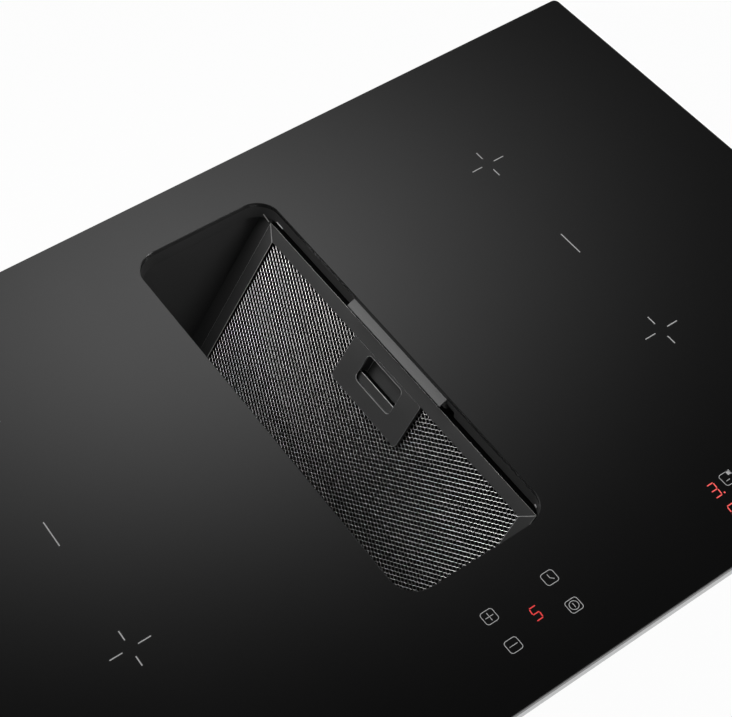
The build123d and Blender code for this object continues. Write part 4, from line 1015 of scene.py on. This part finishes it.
def tick(start, end, axis, sign):
    length = end - start
    sides = {0: size["Line"], 1: size["Line"], 2: size["Thickness"], axis: length}
    extent = length.node("ShaderNodeCombineXYZ", {}, sides)
    block = length.node("GeometryNodeMeshCube", {}, {"Size": extent})
    shift = length.node("ShaderNodeCombineXYZ", {}, {axis: (start + end) / 2 * sign})
    return block.node("GeometryNodeTransform", {}, {"Geometry": block, "Translation": shift})


cross_tree = size["Line"].tree
ticks = cross_tree.nodes.new("GeometryNodeJoinGeometry")
for sign in (-1, 1):
    for start, end, axis in (("Along Start", "Along End", 1), ("Across Start", "Across End", 0)):
        cross_tree.links.new(tick(size[start], size[end], axis, sign).socket, ticks.inputs[0])
cross = Signal(cross_tree, ticks.outputs[0])
crosses = cross.node("GeometryNodeInstanceOnPoints", {}, {"Points": size["Places"], "Instance": cross})
zone_places = [(x, y, GLASS_TOP) for x, y in ZONE_CENTRES]
marks = grow(
    "zone_marks", end_tree(crosses, size), zone_places, cross_sizes, "glass_top", "print_grey"
)
flag_off(marks)

# %% Strokes
MITRE_LIMIT = 0.5


def stroke(points, width, closed=False):
    path = [Vector(point) for point in points]
    count = len(path)
    sides = []
    for i, point in enumerate(path):
        ways = []
        if i or closed:
            ways.append((point - path[i - 1]).normalized())
        if i < count - 1 or closed:
            ways.append((path[(i + 1) % count] - point).normalized())
        way = sum(ways, Vector((0, 0))).normalized()
        beside = Vector((-way.y, way.x))
        mitre = max(MITRE_LIMIT, beside.dot(Vector((-ways[0].y, ways[0].x))))
        edge = beside * width / 2 / mitre
        sides.append((point + edge, point - edge))
    following = sides[1:] + sides[:1] if closed else sides[1:]
    return [(right, next_right, next_left, left) for (left, right), (next_left, next_right) in zip(sides, following)]


print("a straight stroke has", len(stroke([(0, 0), (1, 0)], 1)), "plate")

# %% Arcs, rounded outlines and offsets
POINTS_A_CORNER = 6


def arc(centre, radius, start, end, steps):
    turns = [radians(start + (end - start) * i / steps) for i in range(steps + 1)]
    return [(centre[0] + radius * cos(turn), centre[1] + radius * sin(turn)) for turn in turns]


def rounded(centre, half_wide, half_high, radius):
    points = []
    for x, y, turn in ((1, 1, 0), (-1, 1, 90), (-1, -1, 180), (1, -1, 270)):
        middle = (centre[0] + x * (half_wide - radius), centre[1] + y * (half_high - radius))
        points += arc(middle, radius, turn, turn + 90, POINTS_A_CORNER - 1)
    return points


def about(centre, *points):
    return [(centre[0] + x, centre[1] + y) for x, y in points]


print("points in a rounded outline", len(rounded((0, 0), 1, 1, 0.5)))

# %% Thin plates
FILM_TOP = GLASS_TOP + PRINT_HEIGHT / 2


def film(name, loops, finish, node, top=FILM_TOP, thickness=PRINT_HEIGHT, turn=Matrix.Identity(4)):
    shell = bmesh.new()
    for loop in loops:
        upper = [shell.verts.new((x / 1000, y / 1000, top)) for x, y in loop]
        lower = [shell.verts.new((x / 1000, y / 1000, top - thickness)) for x, y in loop]
        shell.faces.new(upper)
        shell.faces.new(lower[::-1])
        for i in range(len(loop)):
            j = (i + 1) % len(loop)
            shell.faces.new((upper[i], lower[i], lower[j], upper[j]))
    bmesh.ops.recalc_face_normals(shell, faces=shell.faces)
    mesh = bpy.data.meshes.new(name)
    shell.to_mesh(mesh)
    shell.free()
    mesh.transform(turn)
    print(name, len(loops), "plates")
    return place_piece(name, mesh, node, finish)


# %% Keys
KEY_LINE = 0.5
ZONE_LINE = 0.9
HALF_KEY = 4.9
SIGN_REACH = 3.25

plus, minus, timer, power = [(x, y) for x in (-24.2, 26.5) for y in (-193.0, -218.4)]
keys = []
for centre in (plus, minus, timer, power):
    keys += stroke(rounded(centre, HALF_KEY, HALF_KEY, 2.1), KEY_LINE, closed=True)
for ends in (
    about(plus, (-SIGN_REACH, 0), (SIGN_REACH, 0)), about(plus, (0, 0.4), (0, SIGN_REACH)),
    about(plus, (0, -SIGN_REACH), (0, -0.4)), about(minus, (-SIGN_REACH, 0), (SIGN_REACH, 0)),
    about(timer, (0, 3.0), (0, -0.2), (2.4, -2.4)), about(power, (0, -1.8), (0, 1.8)),
):
    keys += stroke(ends, KEY_LINE)
keys += stroke(arc(power, 3.3, 0, 342, 19), KEY_LINE, closed=True)
for side in (-1, 1):
    keys += stroke([(side * 227.5, 16.7), (side * 227.5, 39.7)], ZONE_LINE)
    pause = (side * 177.6, -203.0)
    keys += stroke(rounded(pause, HALF_KEY, HALF_KEY, 1.9), KEY_LINE, closed=True)
    keys += stroke(about(pause, (-2.5, -1.2), (0.8, -1.2)), KEY_LINE)
    keys += [about(pause, (1.8, 1.7), (5.2, 1.7), (5.2, 5.2), (1.8, 5.2))]
flag_off(film("printed_keys", keys, "print_grey", "glass_top"))

# %% [markdown]
# ## The rim of the finger well
# The pressed rim of the well shows a thin line of light, broad on its lower side and finer on its
# upper side. It is drawn as a stroke on the plate, as the keys are on the glass, in the pale edge
# finish, so that line is a painted highlight.

# %% Rim of the finger well
RIM_PROUD = 0.00015
RIM_SHEET = 0.0003

outline = rounded((25.35, 0), 12.0, 22.0, 4.3)
lower_side = outline[3 * POINTS_A_CORNER:] + outline[:POINTS_A_CORNER - 2]
upper_side = outline[POINTS_A_CORNER + 1:3 * POINTS_A_CORNER - 1]
rim = stroke(lower_side, 0.5) + stroke(upper_side, 0.25)
# A pale stroke along the rim: painted highlight.
film("grip_rim_highlight", rim, "painted_edge_highlight", "handle_plate", top=RIM_PROUD, thickness=RIM_SHEET, turn=face)

# %% [markdown]
# ## The lit digits
# A seven-bar display makes every digit from the same seven bars, lit through a mask under the glass.
# Each bar has pointed ends, and the whole digit leans a little. The middle digit is a bit smaller
# than the ones of the four zones.

# %% Seven-bar digits
BARS = {
    "a": ((0.08, 1), (0.92, 1)), "b": ((1, 0.92), (1, 0.58)), "c": ((1, 0.42), (1, 0.08)),
    "d": ((0.08, 0), (0.92, 0)), "e": ((0, 0.42), (0, 0.08)), "f": ((0, 0.92), (0, 0.58)),
    "g": ((0.08, 0.5), (0.92, 0.5)),
}
SHOWN = {"5": "afgcd", "3": "abgcd", "0": "abcdef"}
HALF_BAR = 0.425
SLANT = 0.11


def digit(sign, left, top, width, tall):
    loops = []
    for bar in SHOWN[sign]:
        start, end = (
            Vector((left + x * width + (y - 0.5) * SLANT * tall, top - (1 - y) * tall)) for x, y in BARS[bar]
        )
        way = (end - start).normalized()
        side = Vector((-way.y, way.x)) * HALF_BAR
        tip = way * HALF_BAR
        loops.append([start - tip, start - side, end - side, end + tip, end + side, start + side])
    return loops


digits = digit("5", left=-0.2, top=-203.7, width=5.2, tall=9.9)
for left in (160.4, -171.0):
    digits += digit("3", left, top=-199.7, width=5.4, tall=11.0)
    digits += digit("0", left, top=-219.9, width=5.4, tall=11.0)
    digits += [arc((left + 7.2, -210.4), 0.7, 0, 330, 11)]
film("lit_digits", digits, "digit_light", "digit_displays")
